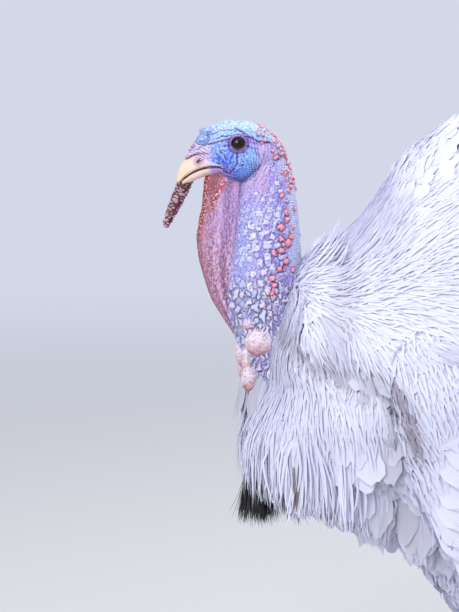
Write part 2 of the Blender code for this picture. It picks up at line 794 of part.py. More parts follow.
def make_tail(body):
    pieces = [tail_core()]
    pieces += fan_tier(TAIL_FEATHERS, TAIL_LENGTH, TAIL_FEATHER_WIDTH, TAIL_HALF_SPREAD, 0.0, TAIL_STEP)
    for offset, count, length, width, half_spread in TAIL_TIERS:
        pieces += fan_tier(count, length, width, half_spread, offset, TAIL_STEP)
    return trim(fuse("tail", pieces), grown("body_cut", body))


def arm_path():
    """Places along the left wing's arm: elbow, forearm, wrist, hand and finger tip."""
    middle = [(a + b) / 2 for a, b in zip(WING_WRIST, WING_ELBOW)]
    hand = [(a + b) / 2 for a, b in zip(WING_WRIST, WING_FINGER)]
    places = (
        (*WING_ELBOW, ARM_STANDS_OUT),
        (*middle, ARM_STANDS_OUT),
        (*WING_WRIST, ARM_STANDS_OUT),
        (*hand, (ARM_STANDS_OUT + FINGER_STANDS_OUT) / 2),
        (*WING_FINGER, FINGER_STANDS_OUT),
    )
    return [(x, -torso_side(x, z) - out, z) for x, z, out in places]


def mixed(pair, share):
    return unit(np.array(pair[0]) * (1 - share) + np.array(pair[1]) * share)


def outer_face(heading):
    outward = np.array((0.0, -1.0, 0.0))
    return unit(outward - heading * outward.dot(heading))


def level(share):
    """How far out a wing feather lies: each under the one nearer the wrist."""
    return WING_LEVELS[0] + (WING_LEVELS[1] - WING_LEVELS[0]) * share


def wing_feathers(elbow, wrist, finger):
    feathers = []
    for k in range(SECONDARIES):
        share = (k + 0.5) / SECONDARIES
        heading = mixed(SECONDARY_HEADINGS, share)
        face = outer_face(heading)
        root = wrist + (elbow - wrist) * share + face * level(share)
        length = SECONDARY_LENGTH * (1 - 0.14 * share)
        feathers.append(vane("vane", root, heading, face, length, SECONDARY_WIDTH, -0.03))
    for k in range(PRIMARIES):
        share = (k + 0.5) / PRIMARIES
        heading = mixed(PRIMARY_HEADINGS, share)
        face = outer_face(heading)
        root = wrist + (finger - wrist) * share + face * level(share)
        length = SECONDARY_LENGTH + (PRIMARY_LENGTH - SECONDARY_LENGTH) * share
        length = min(length, (root[2] - WING_CLEARANCE) / -heading[2])
        feathers.append(vane("vane", root, heading, face, length, PRIMARY_WIDTH, -0.03, PRIMARY_VANE))
    return feathers


def wing_coverts(elbow, wrist, finger):
    """Shorter feathers over the roots of the long ones."""
    coverts = []
    for k in range(WING_COVERTS):
        place = (k + 0.5) / WING_COVERTS - HAND_SHARE
        if place > 0:
            share, far, headings = place / (1 - HAND_SHARE), elbow, SECONDARY_HEADINGS
        else:
            share, far, headings = -place / HAND_SHARE, finger, PRIMARY_HEADINGS
        heading = mixed(headings, share)
        face = outer_face(heading)
        root = wrist + (far - wrist) * share + face * (level(share) + COVERT_RISE)
        coverts.append(vane("vane", root, heading, face, COVERT_LENGTH, COVERT_WIDTH, -0.03))
    return coverts


def make_wings(body):
    path = arm_path()
    elbow, _, wrist, _, finger = (np.array(p) for p in path)
    arm = skin_rings("wing_left", tube_rings(path, ARM_RADII, 11, 8, flatness=ARM_FLATNESS))
    feathers = wing_feathers(elbow, wrist, finger) + wing_coverts(elbow, wrist, finger)
    left = fuse("wing_left", [arm, *feathers])
    right = mirrored("wing_right", left)
    return [trim(wing, grown("body_cut", body)) for wing in (left, right)]


def make_beard(body):
    """A tuft of long bristles under the front of the breast."""
    draw = np.random.default_rng(3)
    pieces = [ball("beard", BEARD_ROOT, BEARD_CORE, rings=4, sides=8)]
    for k in range(BEARD_LOCKS):
        turn = 2 * math.pi * k / BEARD_LOCKS
        spread = np.array((BEARD_CORE[0] * math.cos(turn), BEARD_CORE[1] * math.sin(turn), 0.0)) * 0.62
        heading = unit((spread[0] * 5 + 0.06, spread[1] * 5, -1.0))
        face = unit((math.cos(turn), math.sin(turn), 0.2))
        length = BEARD_LENGTH * draw.uniform(0.8, 1.1)
        root = np.array(BEARD_ROOT) + spread
        pieces.append(vane("lock", root, heading, face, length, BEARD_WIDTH, outline=LOCK_VANE))
    return trim(fuse("beard", pieces), grown("body_cut", body))


def make_thighs(body):
    """The right thigh and the left one."""
    right = skin_rings("thigh_right", tube_rings(THIGH_PATH, THIGH_RADII, 9, 12, flatness=0.86))
    left = mirrored("thigh_left", right)
    return [trim(thigh, grown("body_cut", body)) for thigh in (right, left)]


def toe_rings(heading, length, thickness):
    """A toe with a flat sole and a swelling at each joint."""
    along = np.array((-math.cos(heading), math.sin(heading), 0.0))
    across = np.array((-along[1], along[0], 0.0))
    outline = ((-0.8, 0.0), (0.8, 0.0), (1.0, 0.5), (0.45, 1.0), (-0.45, 1.0), (-1.0, 0.5))
    rings = []
    for k in range(TOE_RINGS):
        t = k / (TOE_RINGS - 1)
        swell = (1 - 0.42 * t) * (1 + 0.10 * math.cos(2 * math.pi * TOE_JOINTS * t))
        half, height = thickness * swell, thickness * 1.45 * swell
        if k == TOE_RINGS - 1:
            half, height = half * 0.55, height * 0.62
        middle = np.array((ANKLE[0], ANKLE[1], 0.0)) + along * length * t
        rings.append(np.array([
            middle + across * half * a + np.array((0.0, 0.0, height * b - SOLE_CUT)) for a, b in outline
        ]))
    return rings


def claw(name, base, along, length, radius, drop):
    """A curved cone that points along and down."""
    along, down = np.array(along), np.array((0.0, 0.0, -1.0))
    places = (-0.35, 0.0, 0.35, 0.7, 1.0)
    path = [np.array(base) + along * length * t + down * drop * t * abs(t) for t in places]
    radii = (radius, radius, radius * 0.82, radius * 0.5, radius * 0.10)
    across = np.cross(along, down)
    return skin_rings(name, tube_rings(path, radii, 5, 5, flatness=0.8, across=across))


def make_foot():
    """The right foot and its claws."""
    pieces = [skin_rings("foot_right", toe_rings(math.radians(a), length, r)) for a, length, r in TOES]
    ankle = [(ANKLE[0], ANKLE[1], z) for z in (-0.004, 0.008, 0.018, 0.027)]
    pieces.append(skin_rings("ankle", tube_rings(ankle, ANKLE_RADII, 5, 9)))
    foot = trim(fuse("foot_right", pieces), below_floor())
    claws = []
    for number, (angle, length, thickness) in enumerate(TOES, 1):
        heading = math.radians(angle)
        along = (-math.cos(heading), math.sin(heading), 0.0)
        base = np.array((ANKLE[0], ANKLE[1], thickness * CLAW_HEIGHT)) + np.array(along) * (length - 0.003)
        piece = claw(f"claw_right_{number}", base, along, CLAW_LENGTH, thickness * 0.42, base[2] - CLAW_TIP)
        claws.append(trim(piece, grown("foot_cut", foot)))
    return foot, claws


def shank_rings():
    """The shank with a raised edge below each scute on its front."""
    hock, ankle = np.array(HOCK), np.array(ANKLE)
    path = [hock + (ankle - hock) * t for t in (-0.10, 0.0, 0.12, 0.5, 0.85, 1.04)]
    rings = tube_rings(path, SHANK_RADII, 3 * SHANK_SCUTES + 1, 8, flatness=0.88)
    for k, ring in enumerate(rings):
        middle = ring.mean(axis=0)
        rise = SCUTE_RISE * ((k % 3) / 2)
        for point in ring:
            if point[0] < middle[0]:
                point += unit(point - middle) * rise
    return rings


def make_shank(thigh, foot):
    shank = skin_rings("shank_right", shank_rings())
    for neighbour in (thigh, foot):
        trim(shank, grown("cut", neighbour))
    base = np.array(HOCK) + (np.array(ANKLE) - np.array(HOCK)) * SPUR_SHARE + np.array((0.004, -0.003, 0.0))
    spur = claw("spur_right", base, unit((0.9, -0.35, 0.25)), SPUR_LENGTH, 0.0042, -0.003)
    trim(spur, grown("shank_cut", shank))
    return shank, spur


def centre_over_origin(parts):
    """Moves the whole bird so that the middle of its box stands over the origin."""
    places = [v.co.x for item in parts for v in item.data.vertices]
    shift = Matrix.Translation((-(min(places) + max(places)) / 2, 0.0, 0.0))
    for item in parts:
        item.data.transform(shift)


def main():
    clear_scene()
    white = new_material("feather", (0.90, 0.90, 0.93), 0.75)
    face_blue = new_material("head_skin", (0.42, 0.66, 0.90), 0.50)
    lilac = new_material("neck_skin", (0.66, 0.62, 0.86), 0.50)
    rose = new_material("wattle_skin", (0.80, 0.42, 0.46), 0.50)
    horn = new_material("horn", (0.86, 0.72, 0.56), 0.40)
    dark = new_material("eye", (0.03, 0.02, 0.02), 0.08)
    black = new_material("beard", (0.02, 0.02, 0.02), 0.55)
    scale = new_material("leg_scale", (0.82, 0.66, 0.62), 0.50)

    body, skull = torso_core("body_form"), head_core("head_form")
    torso = make_torso()
    head, neck = make_head_and_neck(body)
    upper, lower = make_bill(skull)
    eyes = make_eyes()
    snood = make_snood((skull, upper))
    dewlap = make_dewlap((head, neck, lower))
    tail = make_tail(body)
    wings = make_wings(body)
    beard = make_beard(body)
    thighs = make_thighs(body)
    foot, claws = make_foot()
    shank, spur = make_shank(thighs[0], foot)

    for form in (body, skull):
        bpy.data.objects.remove(form)
    parts = [(torso, white), (head, face_blue), (neck, lilac), (upper, horn), (lower, horn)]
    parts += [(snood, rose), (dewlap, rose), (tail, white), (beard, black)]
    parts += [(item, white) for item in (*wings, *thighs)] + [(eye, dark) for eye in eyes]
    leg = [(shank, scale), (foot, scale), (spur, horn), *((c, horn) for c in claws)]
    parts += leg + [(mirrored(item.name.replace("right", "left"), item), look) for item, look in leg]
    for item, look in parts:
        finish(item, look)
    centre_over_origin([item for item, _ in parts])


main()
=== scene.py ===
# The looks of a displaying white domestic turkey tom, life size. The bird faces -X, its left side
# faces -Y and it stands on Z = 0. Places are in metres of the design frame, in which the middle of
# the head lies near X = 0; every mesh is moved by HOME_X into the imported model's frame. Tables in
# millimetres say so, and their places are along the bird and up, as seen from the side.

import math
from types import SimpleNamespace

import bpy
import numpy as np
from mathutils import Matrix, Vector, noise
from mathutils.bvhtree import BVHTree


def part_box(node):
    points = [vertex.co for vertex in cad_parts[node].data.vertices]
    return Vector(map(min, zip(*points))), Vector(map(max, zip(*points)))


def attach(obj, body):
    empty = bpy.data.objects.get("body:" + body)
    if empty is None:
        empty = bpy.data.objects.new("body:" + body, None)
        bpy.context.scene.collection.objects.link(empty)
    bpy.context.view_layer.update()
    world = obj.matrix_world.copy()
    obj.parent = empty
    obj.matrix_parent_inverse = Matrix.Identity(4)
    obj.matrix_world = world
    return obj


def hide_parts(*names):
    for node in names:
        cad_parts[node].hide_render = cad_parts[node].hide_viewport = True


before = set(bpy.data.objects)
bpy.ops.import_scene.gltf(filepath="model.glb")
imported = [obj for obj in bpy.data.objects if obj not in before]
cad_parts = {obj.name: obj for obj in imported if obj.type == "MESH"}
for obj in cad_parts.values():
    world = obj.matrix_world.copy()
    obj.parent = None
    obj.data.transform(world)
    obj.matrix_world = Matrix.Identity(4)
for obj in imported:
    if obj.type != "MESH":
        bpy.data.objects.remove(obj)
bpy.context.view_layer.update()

MM = 0.001
EYE_CENTRE = (-0.0020, 0.0163, 0.6746)
EYE_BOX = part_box("eye_left")
HOME_X = (EYE_BOX[0][0] + EYE_BOX[1][0]) / 2 - EYE_CENTRE[0]

# The forms of the solids: for TORSO, HEAD and the bill X, one edge, the other edge and half width;
# for NECK and DEWLAP Z, front, back and half width.
TORSO = (
    (-0.010, 0.352, 0.352, 0.000), (-0.005, 0.316, 0.378, 0.052), (0.010, 0.302, 0.404, 0.092),
    (0.028, 0.290, 0.434, 0.120), (0.046, 0.282, 0.484, 0.138), (0.062, 0.276, 0.534, 0.150),
    (0.080, 0.270, 0.556, 0.162), (0.108, 0.262, 0.568, 0.175), (0.142, 0.252, 0.603, 0.188),
    (0.188, 0.238, 0.666, 0.200), (0.245, 0.232, 0.700, 0.205), (0.305, 0.236, 0.704, 0.200),
    (0.365, 0.254, 0.684, 0.180), (0.413, 0.290, 0.628, 0.145), (0.444, 0.350, 0.555, 0.092),
    (0.456, 0.450, 0.450, 0.000),
)
TORSO_SHAPE = (0.94, 0.46)
HEAD = (
    (-0.0500, 0.6690, 0.6690, 0.0000), (-0.0488, 0.6775, 0.6570, 0.0072),
    (-0.0445, 0.6850, 0.6500, 0.0118), (-0.0365, 0.6915, 0.6455, 0.0155),
    (-0.0250, 0.6970, 0.6400, 0.0188), (-0.0110, 0.7000, 0.6335, 0.0214),
    (0.0030, 0.7000, 0.6300, 0.0230), (0.0165, 0.6965, 0.6340, 0.0236),
    (0.0290, 0.6900, 0.6410, 0.0226), (0.0405, 0.6800, 0.6480, 0.0190),
    (0.0480, 0.6700, 0.6560, 0.0118), (0.0505, 0.6630, 0.6630, 0.0000),
)
HEAD_SHAPE = (0.94, 0.44)
UPPER_BILL = (
    (-0.0700, 0.6330, 0.6290, 0.0008), (-0.0692, 0.6400, 0.6292, 0.0024),
    (-0.0665, 0.6480, 0.6315, 0.0042), (-0.0610, 0.6560, 0.6362, 0.0066),
    (-0.0540, 0.6620, 0.6404, 0.0090), (-0.0470, 0.6650, 0.6438, 0.0114),
    (-0.0390, 0.6650, 0.6464, 0.0142), (-0.0320, 0.6610, 0.6480, 0.0160),
    (-0.0240, 0.6550, 0.6488, 0.0172), (-0.0180, 0.6510, 0.6474, 0.0176), (-0.0150, 0.6485, 0.6465, 0.0150),
)
LOWER_BILL = (
    (-0.0640, 0.6325, 0.6290, 0.0012), (-0.0610, 0.6350, 0.6298, 0.0038),
    (-0.0540, 0.6404, 0.6316, 0.0068), (-0.0460, 0.6445, 0.6348, 0.0096),
    (-0.0380, 0.6470, 0.6378, 0.0122), (-0.0300, 0.6482, 0.6392, 0.0146),
    (-0.0220, 0.6480, 0.6410, 0.0160), (-0.0160, 0.6464, 0.6430, 0.0156), (-0.0135, 0.6455, 0.6440, 0.0130),
)
NECK = (
    (0.668, 0.0120, 0.0490, 0.0185), (0.650, 0.0060, 0.0550, 0.0215), (0.630, 0.0010, 0.0600, 0.0240),
    (0.605, -0.0020, 0.0635, 0.0262), (0.578, -0.0045, 0.0660, 0.0282),
    (0.550, -0.0090, 0.0680, 0.0300), (0.522, -0.0140, 0.0700, 0.0318),
    (0.495, -0.0150, 0.0740, 0.0340), (0.468, -0.0080, 0.0800, 0.0370),
    (0.440, 0.0010, 0.0880, 0.0400), (0.410, 0.0100, 0.0960, 0.0420),
)
DEWLAP = (
    (0.6420, -0.0370, 0.0060, 0.0095), (0.6300, -0.0402, 0.0060, 0.0100),
    (0.6100, -0.0415, 0.0050, 0.0098), (0.5900, -0.0450, 0.0040, 0.0102),
    (0.5700, -0.0482, 0.0020, 0.0112), (0.5480, -0.0460, -0.0010, 0.0120),
    (0.5250, -0.0400, -0.0040, 0.0118), (0.5020, -0.0320, -0.0040, 0.0108),
    (0.4820, -0.0200, -0.0010, 0.0085), (0.4620, -0.0070, 0.0040, 0.0058),
    (0.4500, 0.0010, 0.0090, 0.0030),
)
SNOOD_PATH = (
    (-0.0410, 0.0000, 0.6740), (-0.0455, 0.0060, 0.6720), (-0.0500, 0.0125, 0.6640),
    (-0.0535, 0.0165, 0.6530), (-0.0575, 0.0172, 0.6400), (-0.0625, 0.0168, 0.6270),
    (-0.0690, 0.0155, 0.6130), (-0.0755, 0.0142, 0.5990), (-0.0822, 0.0130, 0.5835),
    (-0.0836, 0.0130, 0.5800),
)
SNOOD_RADII = (0.0056, 0.0062, 0.0068, 0.0072, 0.0078, 0.0080, 0.0074, 0.0062, 0.0040, 0.0012)
# Large caruncles at the neck's foot and the bulges round them: centre and radii.
MAJOR_CARUNCLES = (
    ((0.0235, -0.0290, 0.4560), (0.0185, 0.0130, 0.0160)),
    ((0.0110, -0.0230, 0.4150), (0.0098, 0.0095, 0.0145)),
    ((0.0080, -0.0200, 0.4370), (0.0066, 0.0085, 0.0150)),
    ((0.0020, -0.0060, 0.4420), (0.0070, 0.0080, 0.0160)),
    ((0.0030, -0.0140, 0.4700), (0.0050, 0.0070, 0.0110)),
    ((0.0060, -0.0200, 0.4960), (0.0060, 0.0070, 0.0090)),
    ((0.0060, 0.0100, 0.4280), (0.0095, 0.0100, 0.0200)),
    ((0.0230, 0.0270, 0.4500), (0.0170, 0.0130, 0.0150)),
    ((0.0020, 0.0000, 0.4660), (0.0080, 0.0120, 0.0110)),
    ((0.0120, -0.0240, 0.4760), (0.0100, 0.0085, 0.0090)),
    ((0.0120, 0.0240, 0.4760), (0.0100, 0.0085, 0.0090)),
)
BEARD_ROOT = (0.0190, 0.0, 0.3080)
BEARD_CORE = (0.0145, 0.0160, 0.0130)
EYE_RADIUS = 0.0092
LID_RADIUS = 0.0083
LID_REACH = 0.0062
THIGH_PATH = ((0.222, 0.086, 0.285), (0.232, 0.088, 0.245), (0.250, 0.088, 0.205), (0.272, 0.088, 0.170))
THIGH_RADII = (0.050, 0.044, 0.030, 0.0165)
HOCK = (0.272, 0.088, 0.170)
ANKLE = (0.236, 0.088, 0.026)
SHANK_RADII = (0.0085, 0.0115, 0.0102, 0.0082, 0.0088, 0.0100)
ANKLE_RADII = (0.0126, 0.0138, 0.0128, 0.0098)
SOLE_CUT = 0.0012
LEG_GRAIN = 0.0013
TOES = ((0, 0.088, 0.0105), (34, 0.068, 0.0096), (-34, 0.070, 0.0096), (172, 0.034, 0.0080))
WING_WRIST = (0.178, 0.444)
WING_ELBOW = (0.300, 0.505)
WING_FINGER = (0.193, 0.345)
TAIL_ROOT = np.array((0.470, 0.0, 0.450))
TAIL_LEAN = math.radians(11)

# Bulbs of the neck, in millimetres: place from the side and radius. The right side has them too.
BULBS = (
    (50.7, 599.3, 3.4), (45.3, 583.3, 4.2), (51.7, 591.1, 3.2), (44.8, 570.0, 3.6), (56.7, 572.2, 3.4),
    (53.3, 565.6, 4.0), (45.6, 557.8, 3.8), (37.8, 554.4, 3.4), (50.7, 545.6, 3.6), (51.7, 611.1, 2.8),
    (54.4, 621.1, 2.4), (45.6, 617.8, 2.6), (38.9, 659.4, 2.6), (58.0, 583.0, 2.6), (60.0, 603.0, 2.4),
    (42.9, 537.6, 3.4), (35.0, 527.0, 3.4), (37.7, 519.5, 3.0), (35.0, 511.0, 3.6), (58.0, 536.0, 2.6),
)
# The lower edge of the crown's thick skin and of the cheek, in millimetres.
CROWN_EDGE = (
    (-48, 667), (-44, 670.5), (-41, 672.9), (-27, 676.3), (-16, 679.3), (-6, 682.0), (2, 683.2), (8, 682.6),
    (14, 680.4), (20, 677.6), (26, 676.4), (32, 676.6), (38, 672), (46, 668),
)
CHEEK = ((-1.0, 652.5), (22.5, 20.0))     # middle, and radii along and up
# Creases of the head, in millimetres: the line's places, its half width and its depth.
CREASES = (
    (((-25.6, 679.3), (-19.4, 682.3), (-4.6, 682.9), (4, 684.6)), 0.9, 0.9),
    (((-36, 681), (-29.3, 685.3), (-21.4, 688.0), (-4.6, 688.6), (2.2, 687.3)), 0.7, 0.5),
    (((-5.6, 690.8), (0.4, 688.8), (5.3, 685.3), (10.3, 682.3), (14.3, 681.3)), 1.0, 1.3),
    (((-21.4, 666.4), (-17.4, 660.6), (-13.4, 656.7)), 1.0, 0.9),
    (((-26.5, 664.0), (-22.5, 659.0), (-18.0, 655.0)), 0.7, 0.5),
    (((-3.6, 664.4), (-2.6, 653.6), (-6.7, 647.8), (-10.6, 642.7)), 0.9, 1.2),
    (((-4.4, 652.2), (3.3, 651.6)), 0.7, 0.6),
    (((-24, 648.5), (-18, 645.5), (-10.6, 641.1)), 0.9, 1.2),
)
# Lobes of the forehead: centre and radii, on both sides.
LOBES = (
    ((-0.0375, 0.0070, 0.6874), (0.0078, 0.0095, 0.0048)),
    ((-0.0395, 0.0068, 0.6784), (0.0092, 0.0105, 0.0060)),
)
# Skin over the root of the bill: X, lower edge, upper edge and half width.
CERE = (
    (-0.0615, 0.6560, 0.6575, 0.0010), (-0.0600, 0.6552, 0.6604, 0.0044), (-0.0565, 0.6568, 0.6640, 0.0078),
    (-0.0520, 0.6602, 0.6668, 0.0102), (-0.0460, 0.6622, 0.6700, 0.0122), (-0.0400, 0.6632, 0.6740, 0.0138),
    (-0.0340, 0.6632, 0.6760, 0.0146),
)
# The line where the two halves of the bill meet, in millimetres.
MOUTH_LINE = (
    (-66, 630), (-62.2, 635.3), (-51.2, 643.0), (-41.2, 647.0), (-33.3, 648.6), (-25.6, 648.8),
    (-19.4, 647.2), (-10.6, 642),
)
# Middle of the nostril's slit and its half length, in millimetres, and how it runs back and up.
NOSTRIL = ((-43.3, 656.8), 4.6)
NOSTRIL_SLANT = (0.77, 0.64)
# Line of the crown's back and the nape as seen from the side, in millimetres.
REAR_LINE = ((14, 698), (26, 692), (36, 684), (44, 673), (51, 660), (56, 646), (59, 630))
REAR_BUMPS = 95
# Pale plates of the neck, in millimetres: place from the side and radius. Both sides have them.
PLATES = (
    (32.2, 602.2, 3.0), (28.3, 588.9, 2.8), (26.7, 576.7, 3.0), (30.0, 563.3, 4.4), (14.4, 572.2, 3.8),
    (21.1, 598.3, 3.6), (40.6, 597.2, 3.0), (40.6, 631.1, 3.0), (30.0, 551.1, 3.6), (16.7, 560.0, 4.0),
    (38.0, 585.5, 2.2), (36.0, 613.0, 2.0), (35.0, 540.0, 3.2), (22.0, 545.0, 3.6), (12.0, 584.0, 3.2),
    (44.0, 622.0, 1.8), (25.0, 613.0, 2.4), (18.0, 620.0, 2.2), (36.0, 572.0, 2.0), (42.0, 562.0, 2.4),
    (10.0, 548.0, 3.0), (26.0, 534.0, 3.4), (14.0, 532.0, 3.4), (38.0, 527.0, 3.4), (22.0, 522.0, 3.6),
    (46.0, 515.0, 3.2), (30.0, 512.0, 3.6), (10.0, 516.0, 3.4), (54.0, 505.0, 3.0), (40.0, 500.0, 3.4),
)

# Directions of the plumage on the body, in millimetres and degrees: place from the side, how far
# the feathers run back and up, their length, width and how steeply they stand off the skin.
LIE = (
    (62, 556, 0.80, 0.50, 34, 20, 12),
    (96, 566, 0.75, 0.60, 40, 24, 12),
    (118, 532, 0.97, 0.05, 44, 26, 11),
    (150, 605, 0.65, 0.75, 52, 30, 11),
    (210, 680, 0.35, 1.00, 58, 34, 13),
    (300, 700, 0.80, 0.45, 58, 36, 11),
    (430, 610, 0.90, 0.20, 58, 36, 10),
    (430, 400, 0.90, -0.30, 56, 36, 10),
    (250, 450, 0.90, -0.45, 58, 36, 9),
    (84, 516, 0.80, -0.55, 42, 24, 9),
    (90, 480, 0.40, -0.92, 50, 30, 9),
    (40, 470, 0.00, -1.00, 40, 22, 9),
    (0, 380, 0.00, -1.00, 48, 24, 9),
    (110, 400, 0.15, -1.00, 56, 32, 9),
    (60, 320, 0.00, -1.00, 54, 24, 9),
    (200, 320, 0.35, -0.95, 56, 32, 9),
    (320, 300, 0.70, -0.65, 54, 34, 9),
)
# Masses of the plumage, in millimetres: place from the side, radii along and up, and rise.
MASSES = (
    (82, 492, 36, 50, 12),
    (142, 478, 42, 42, 9),
    (116, 372, 50, 50, 11),
    (190, 262, 62, 45, 9),
    (190, 590, 60, 60, 5),
)
# The plumage's swelling over the upper arm, in millimetres: the line, its half width and rise.
SHOULDER = (((176, 440), (225, 470), (300, 500), (350, 505)), 34, 20)
# Folds between the masses, in millimetres: the line, its half width and depth.
GROOVES = (
    (((40, 474), (52, 457), (73, 442), (100, 434), (120, 430), (147, 424), (165, 420)), 9, 11),
    (((117, 545), (113, 512), (103, 475), (100, 450)), 14, 5),
    (((160, 426), (172, 405), (179, 382), (184, 358)), 10, 18),
    (((150, 350), (165, 320), (160, 290)), 12, 5),
)
FOLD_SHADE = (0.60, 0.57, 0.65)
UNDER_SHADE = (0.50, 0.46, 0.48)
FRONT_INSET = 13    # how far the breast's front lies behind its solid's, in millimetres
COAT_DEPTH = 0.006
SKIN_GRAIN = 0.0009    # the size of the faces of the bare skin
COAT_SPACING = 0.0094
BARB_SPACING = 0.0052
# The lower edge of the hanging feathers, in millimetres along the bird and up.
HEM_LINE = (
    (-5, 306), (12, 292), (45, 280), (97, 262), (125, 255), (150, 240), (220, 210), (300, 205), (360, 235),
)

WHITE = (0.925, 0.93, 0.985)


def linear(colour):
    """The linear values of an sRGB colour."""
    c = np.array(colour, float)
    return np.where(c <= 0.04045, c / 12.92, ((c + 0.055) / 1.055) ** 2.4)


def smooth_through(values, count):
    """Reads count rows from a smooth curve through the rows of values, evenly along the list."""
    rows = np.array(values, float)
    padded = np.vstack([2 * rows[0] - rows[1], rows, 2 * rows[-1] - rows[-2]])
    places = np.linspace(0, len(rows) - 1, count)
    whole = np.minimum(places.astype(int), len(rows) - 2)
    t = (places - whole)[:, None]
    a, b, c, d = (padded[whole + k] for k in range(4))
    return 0.5 * (
        2 * b + (c - a) * t + (2 * a - 5 * b + 4 * c - d) * t**2 + (3 * b - a - 3 * c + d) * t**3
    )


def unit(vectors):
    vectors = np.asarray(vectors, float)
    return vectors / np.maximum(np.linalg.norm(vectors, axis=-1, keepdims=True), 1e-12)


def step(low, high, values):
    """Rises smoothly from 0 at low to 1 at high."""
    t = np.clip((values - low) / (high - low), 0, 1)
    return t * t * (3 - 2 * t)


def ring_faces(rows, sides):
    """Quads between rings of equally many points, and one face over each end."""
    ids = np.arange(rows * sides).reshape(rows, sides)
    turned = np.roll(ids, -1, axis=1)
    quads = np.stack([ids[:-1], turned[:-1], turned[1:], ids[1:]], axis=-1).reshape(-1, 4)
    return quads.tolist() + [ids[0][::-1].tolist(), ids[-1].tolist()]


def loft(rings):
    """A closed form through rings, with its faces turned outward."""
    rings = np.array(rings)
    rows, sides = rings.shape[:2]
    a, b = rings[rows // 2, 0], rings[rows // 2, 1]
    onward = rings[rows // 2 + 1, 0]
    outward = a - rings[rows // 2].mean(axis=0)
    faces = ring_faces(rows, sides)
    if np.cross(b - a, onward - a).dot(outward) < 0:
        faces = [face[::-1] for face in faces]
    return rings.reshape(-1, 3), faces


def oval(sides, power):
    """Points round a rounded box: power 1 is an ellipse, and less is squarer."""
    turns = 2 * np.pi * np.arange(sides) / sides
    c, s = np.cos(turns), np.sin(turns)
    return np.sign(c) * np.abs(c) ** power, np.sign(s) * np.abs(s) ** power


def rings_along_x(sections, rows, sides, power=1.0, belly=0.5):
    """Rings across X. belly is how high in the section its widest place lies."""
    c, s = oval(sides, power)
    rings = []
    for x, a, b, half in smooth_through(sections, rows):
        low, high = min(a, b), max(a, b)
        middle = low + belly * (high - low)
        up = np.where(s > 0, high - middle, middle - low) * s
        rings.append(np.column_stack([np.full(sides, x), max(half, 0) * c, middle + up]))
    return np.array(rings)


def rings_up_z(sections, rows, sides):
    """Rings across Z, each from its front to its back."""
    c, s = oval(sides, 1.0)
    return np.array([
        np.column_stack([(front + back) / 2 + (back - front) / 2 * c, half * s, np.full(sides, z)])
        for z, front, back, half in smooth_through(sections, rows)
    ])


def tube_rings(path, radii, rows, sides, flatness=1.0):
    """Rings along a bent path, squeezed across the bird by flatness."""
    centres = smooth_through(path, rows)
    sizes = smooth_through([(r,) for r in radii], rows)[:, 0]
    turns = 2 * np.pi * np.arange(sides)[:, None] / sides
    rings = []
    for k, along in enumerate(unit(np.gradient(centres, axis=0))):
        across = unit(np.array((0.0, 1.0, 0.0)) - along * along[1])
        third = np.cross(along, across)
        rings.append(centres[k] + sizes[k] * (flatness * np.cos(turns) * across + np.sin(turns) * third))
    return np.array(rings)


def ball(centre, radii, rows=14, sides=20):
    lat = np.pi * np.linspace(0.02, 0.98, rows)[:, None, None]
    turn = (2 * np.pi * np.arange(sides) / sides)[None, :, None]
    places = np.concatenate(
        [np.sin(lat) * np.cos(turn), np.sin(lat) * np.sin(turn), np.cos(lat) * np.ones_like(turn)], axis=2
    )
    return loft(np.array(centre) + np.array(radii) * places)


def lid_ring(side):
    """A rim of skin round the eye."""
    turns, around = 40, 10
    a = 2 * np.pi * np.arange(turns)[:, None] / turns
    b = 2 * np.pi * np.arange(around)[None, :] / around
    rim = LID_RADIUS + 0.0017 * np.cos(b)
    x = EYE_CENTRE[0] + rim * np.cos(a) * 1.06
    z = EYE_CENTRE[2] + rim * np.sin(a) * 0.94
    y = side * (EYE_CENTRE[1] + LID_REACH - 0.0006) + 0.0018 * np.sin(b) + 0 * a
    ids = np.arange(turns * around).reshape(turns, around)
    quads = np.stack(
        [ids, np.roll(ids, -1, 0), np.roll(np.roll(ids, -1, 0), -1, 1), np.roll(ids, -1, 1)], axis=-1
    )
    return np.stack([x, y, z], axis=-1).reshape(-1, 3), quads.reshape(-1, 4).tolist()


def joined(forms):
    """Points and faces of several forms in one list each."""
    points, faces, start = [], [], 0
    for form_points, form_faces in forms:
        points.append(form_points)
        faces += [[start + n for n in face] for face in form_faces]
        start += len(form_points)
    return np.vstack(points), faces


def add_object(name, data):
    item = bpy.data.objects.new(name, data)
    bpy.context.scene.collection.objects.link(item)
    return item


def new_mesh(name, points, faces):
    """A mesh object, moved home from the design frame."""
    mesh = bpy.data.meshes.new(name)
    moved = np.asarray(points, float) + (HOME_X, 0, 0)
    mesh.from_pydata(moved.tolist(), [], [list(f) for f in faces])
    mesh.shade_smooth()
    return add_object(name, mesh)


def dress(item, material, slot, *nodes):
    """Gives a piece its material, and lets it ride in place of the nodes."""
    item.data.materials.clear()
    item.data.materials.append(material)
    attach(item, "root")
    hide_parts(*nodes)


def design_points(item):
    """The points of a mesh in the design frame."""
    places = np.empty(len(item.data.vertices) * 3, np.float32)
    item.data.vertices.foreach_get("co", places)
    return places.reshape(-1, 3).astype(float) - (HOME_X, 0, 0)


def set_points(item, points):
    moved = (points + (HOME_X, 0, 0)).astype(np.float32)
    item.data.vertices.foreach_set("co", moved.ravel())
    item.data.update()


def normals_of(item):
    found = np.empty(len(item.data.vertices) * 3, np.float32)
    item.data.vertex_normals.foreach_get("vector", found)
    return found.reshape(-1, 3).astype(float)


def form_normals(points, faces):
    """The outward directions at the points of a form."""
    item = new_mesh("form", points, faces)
    normals = normals_of(item)
    bpy.data.objects.remove(item)
    return normals


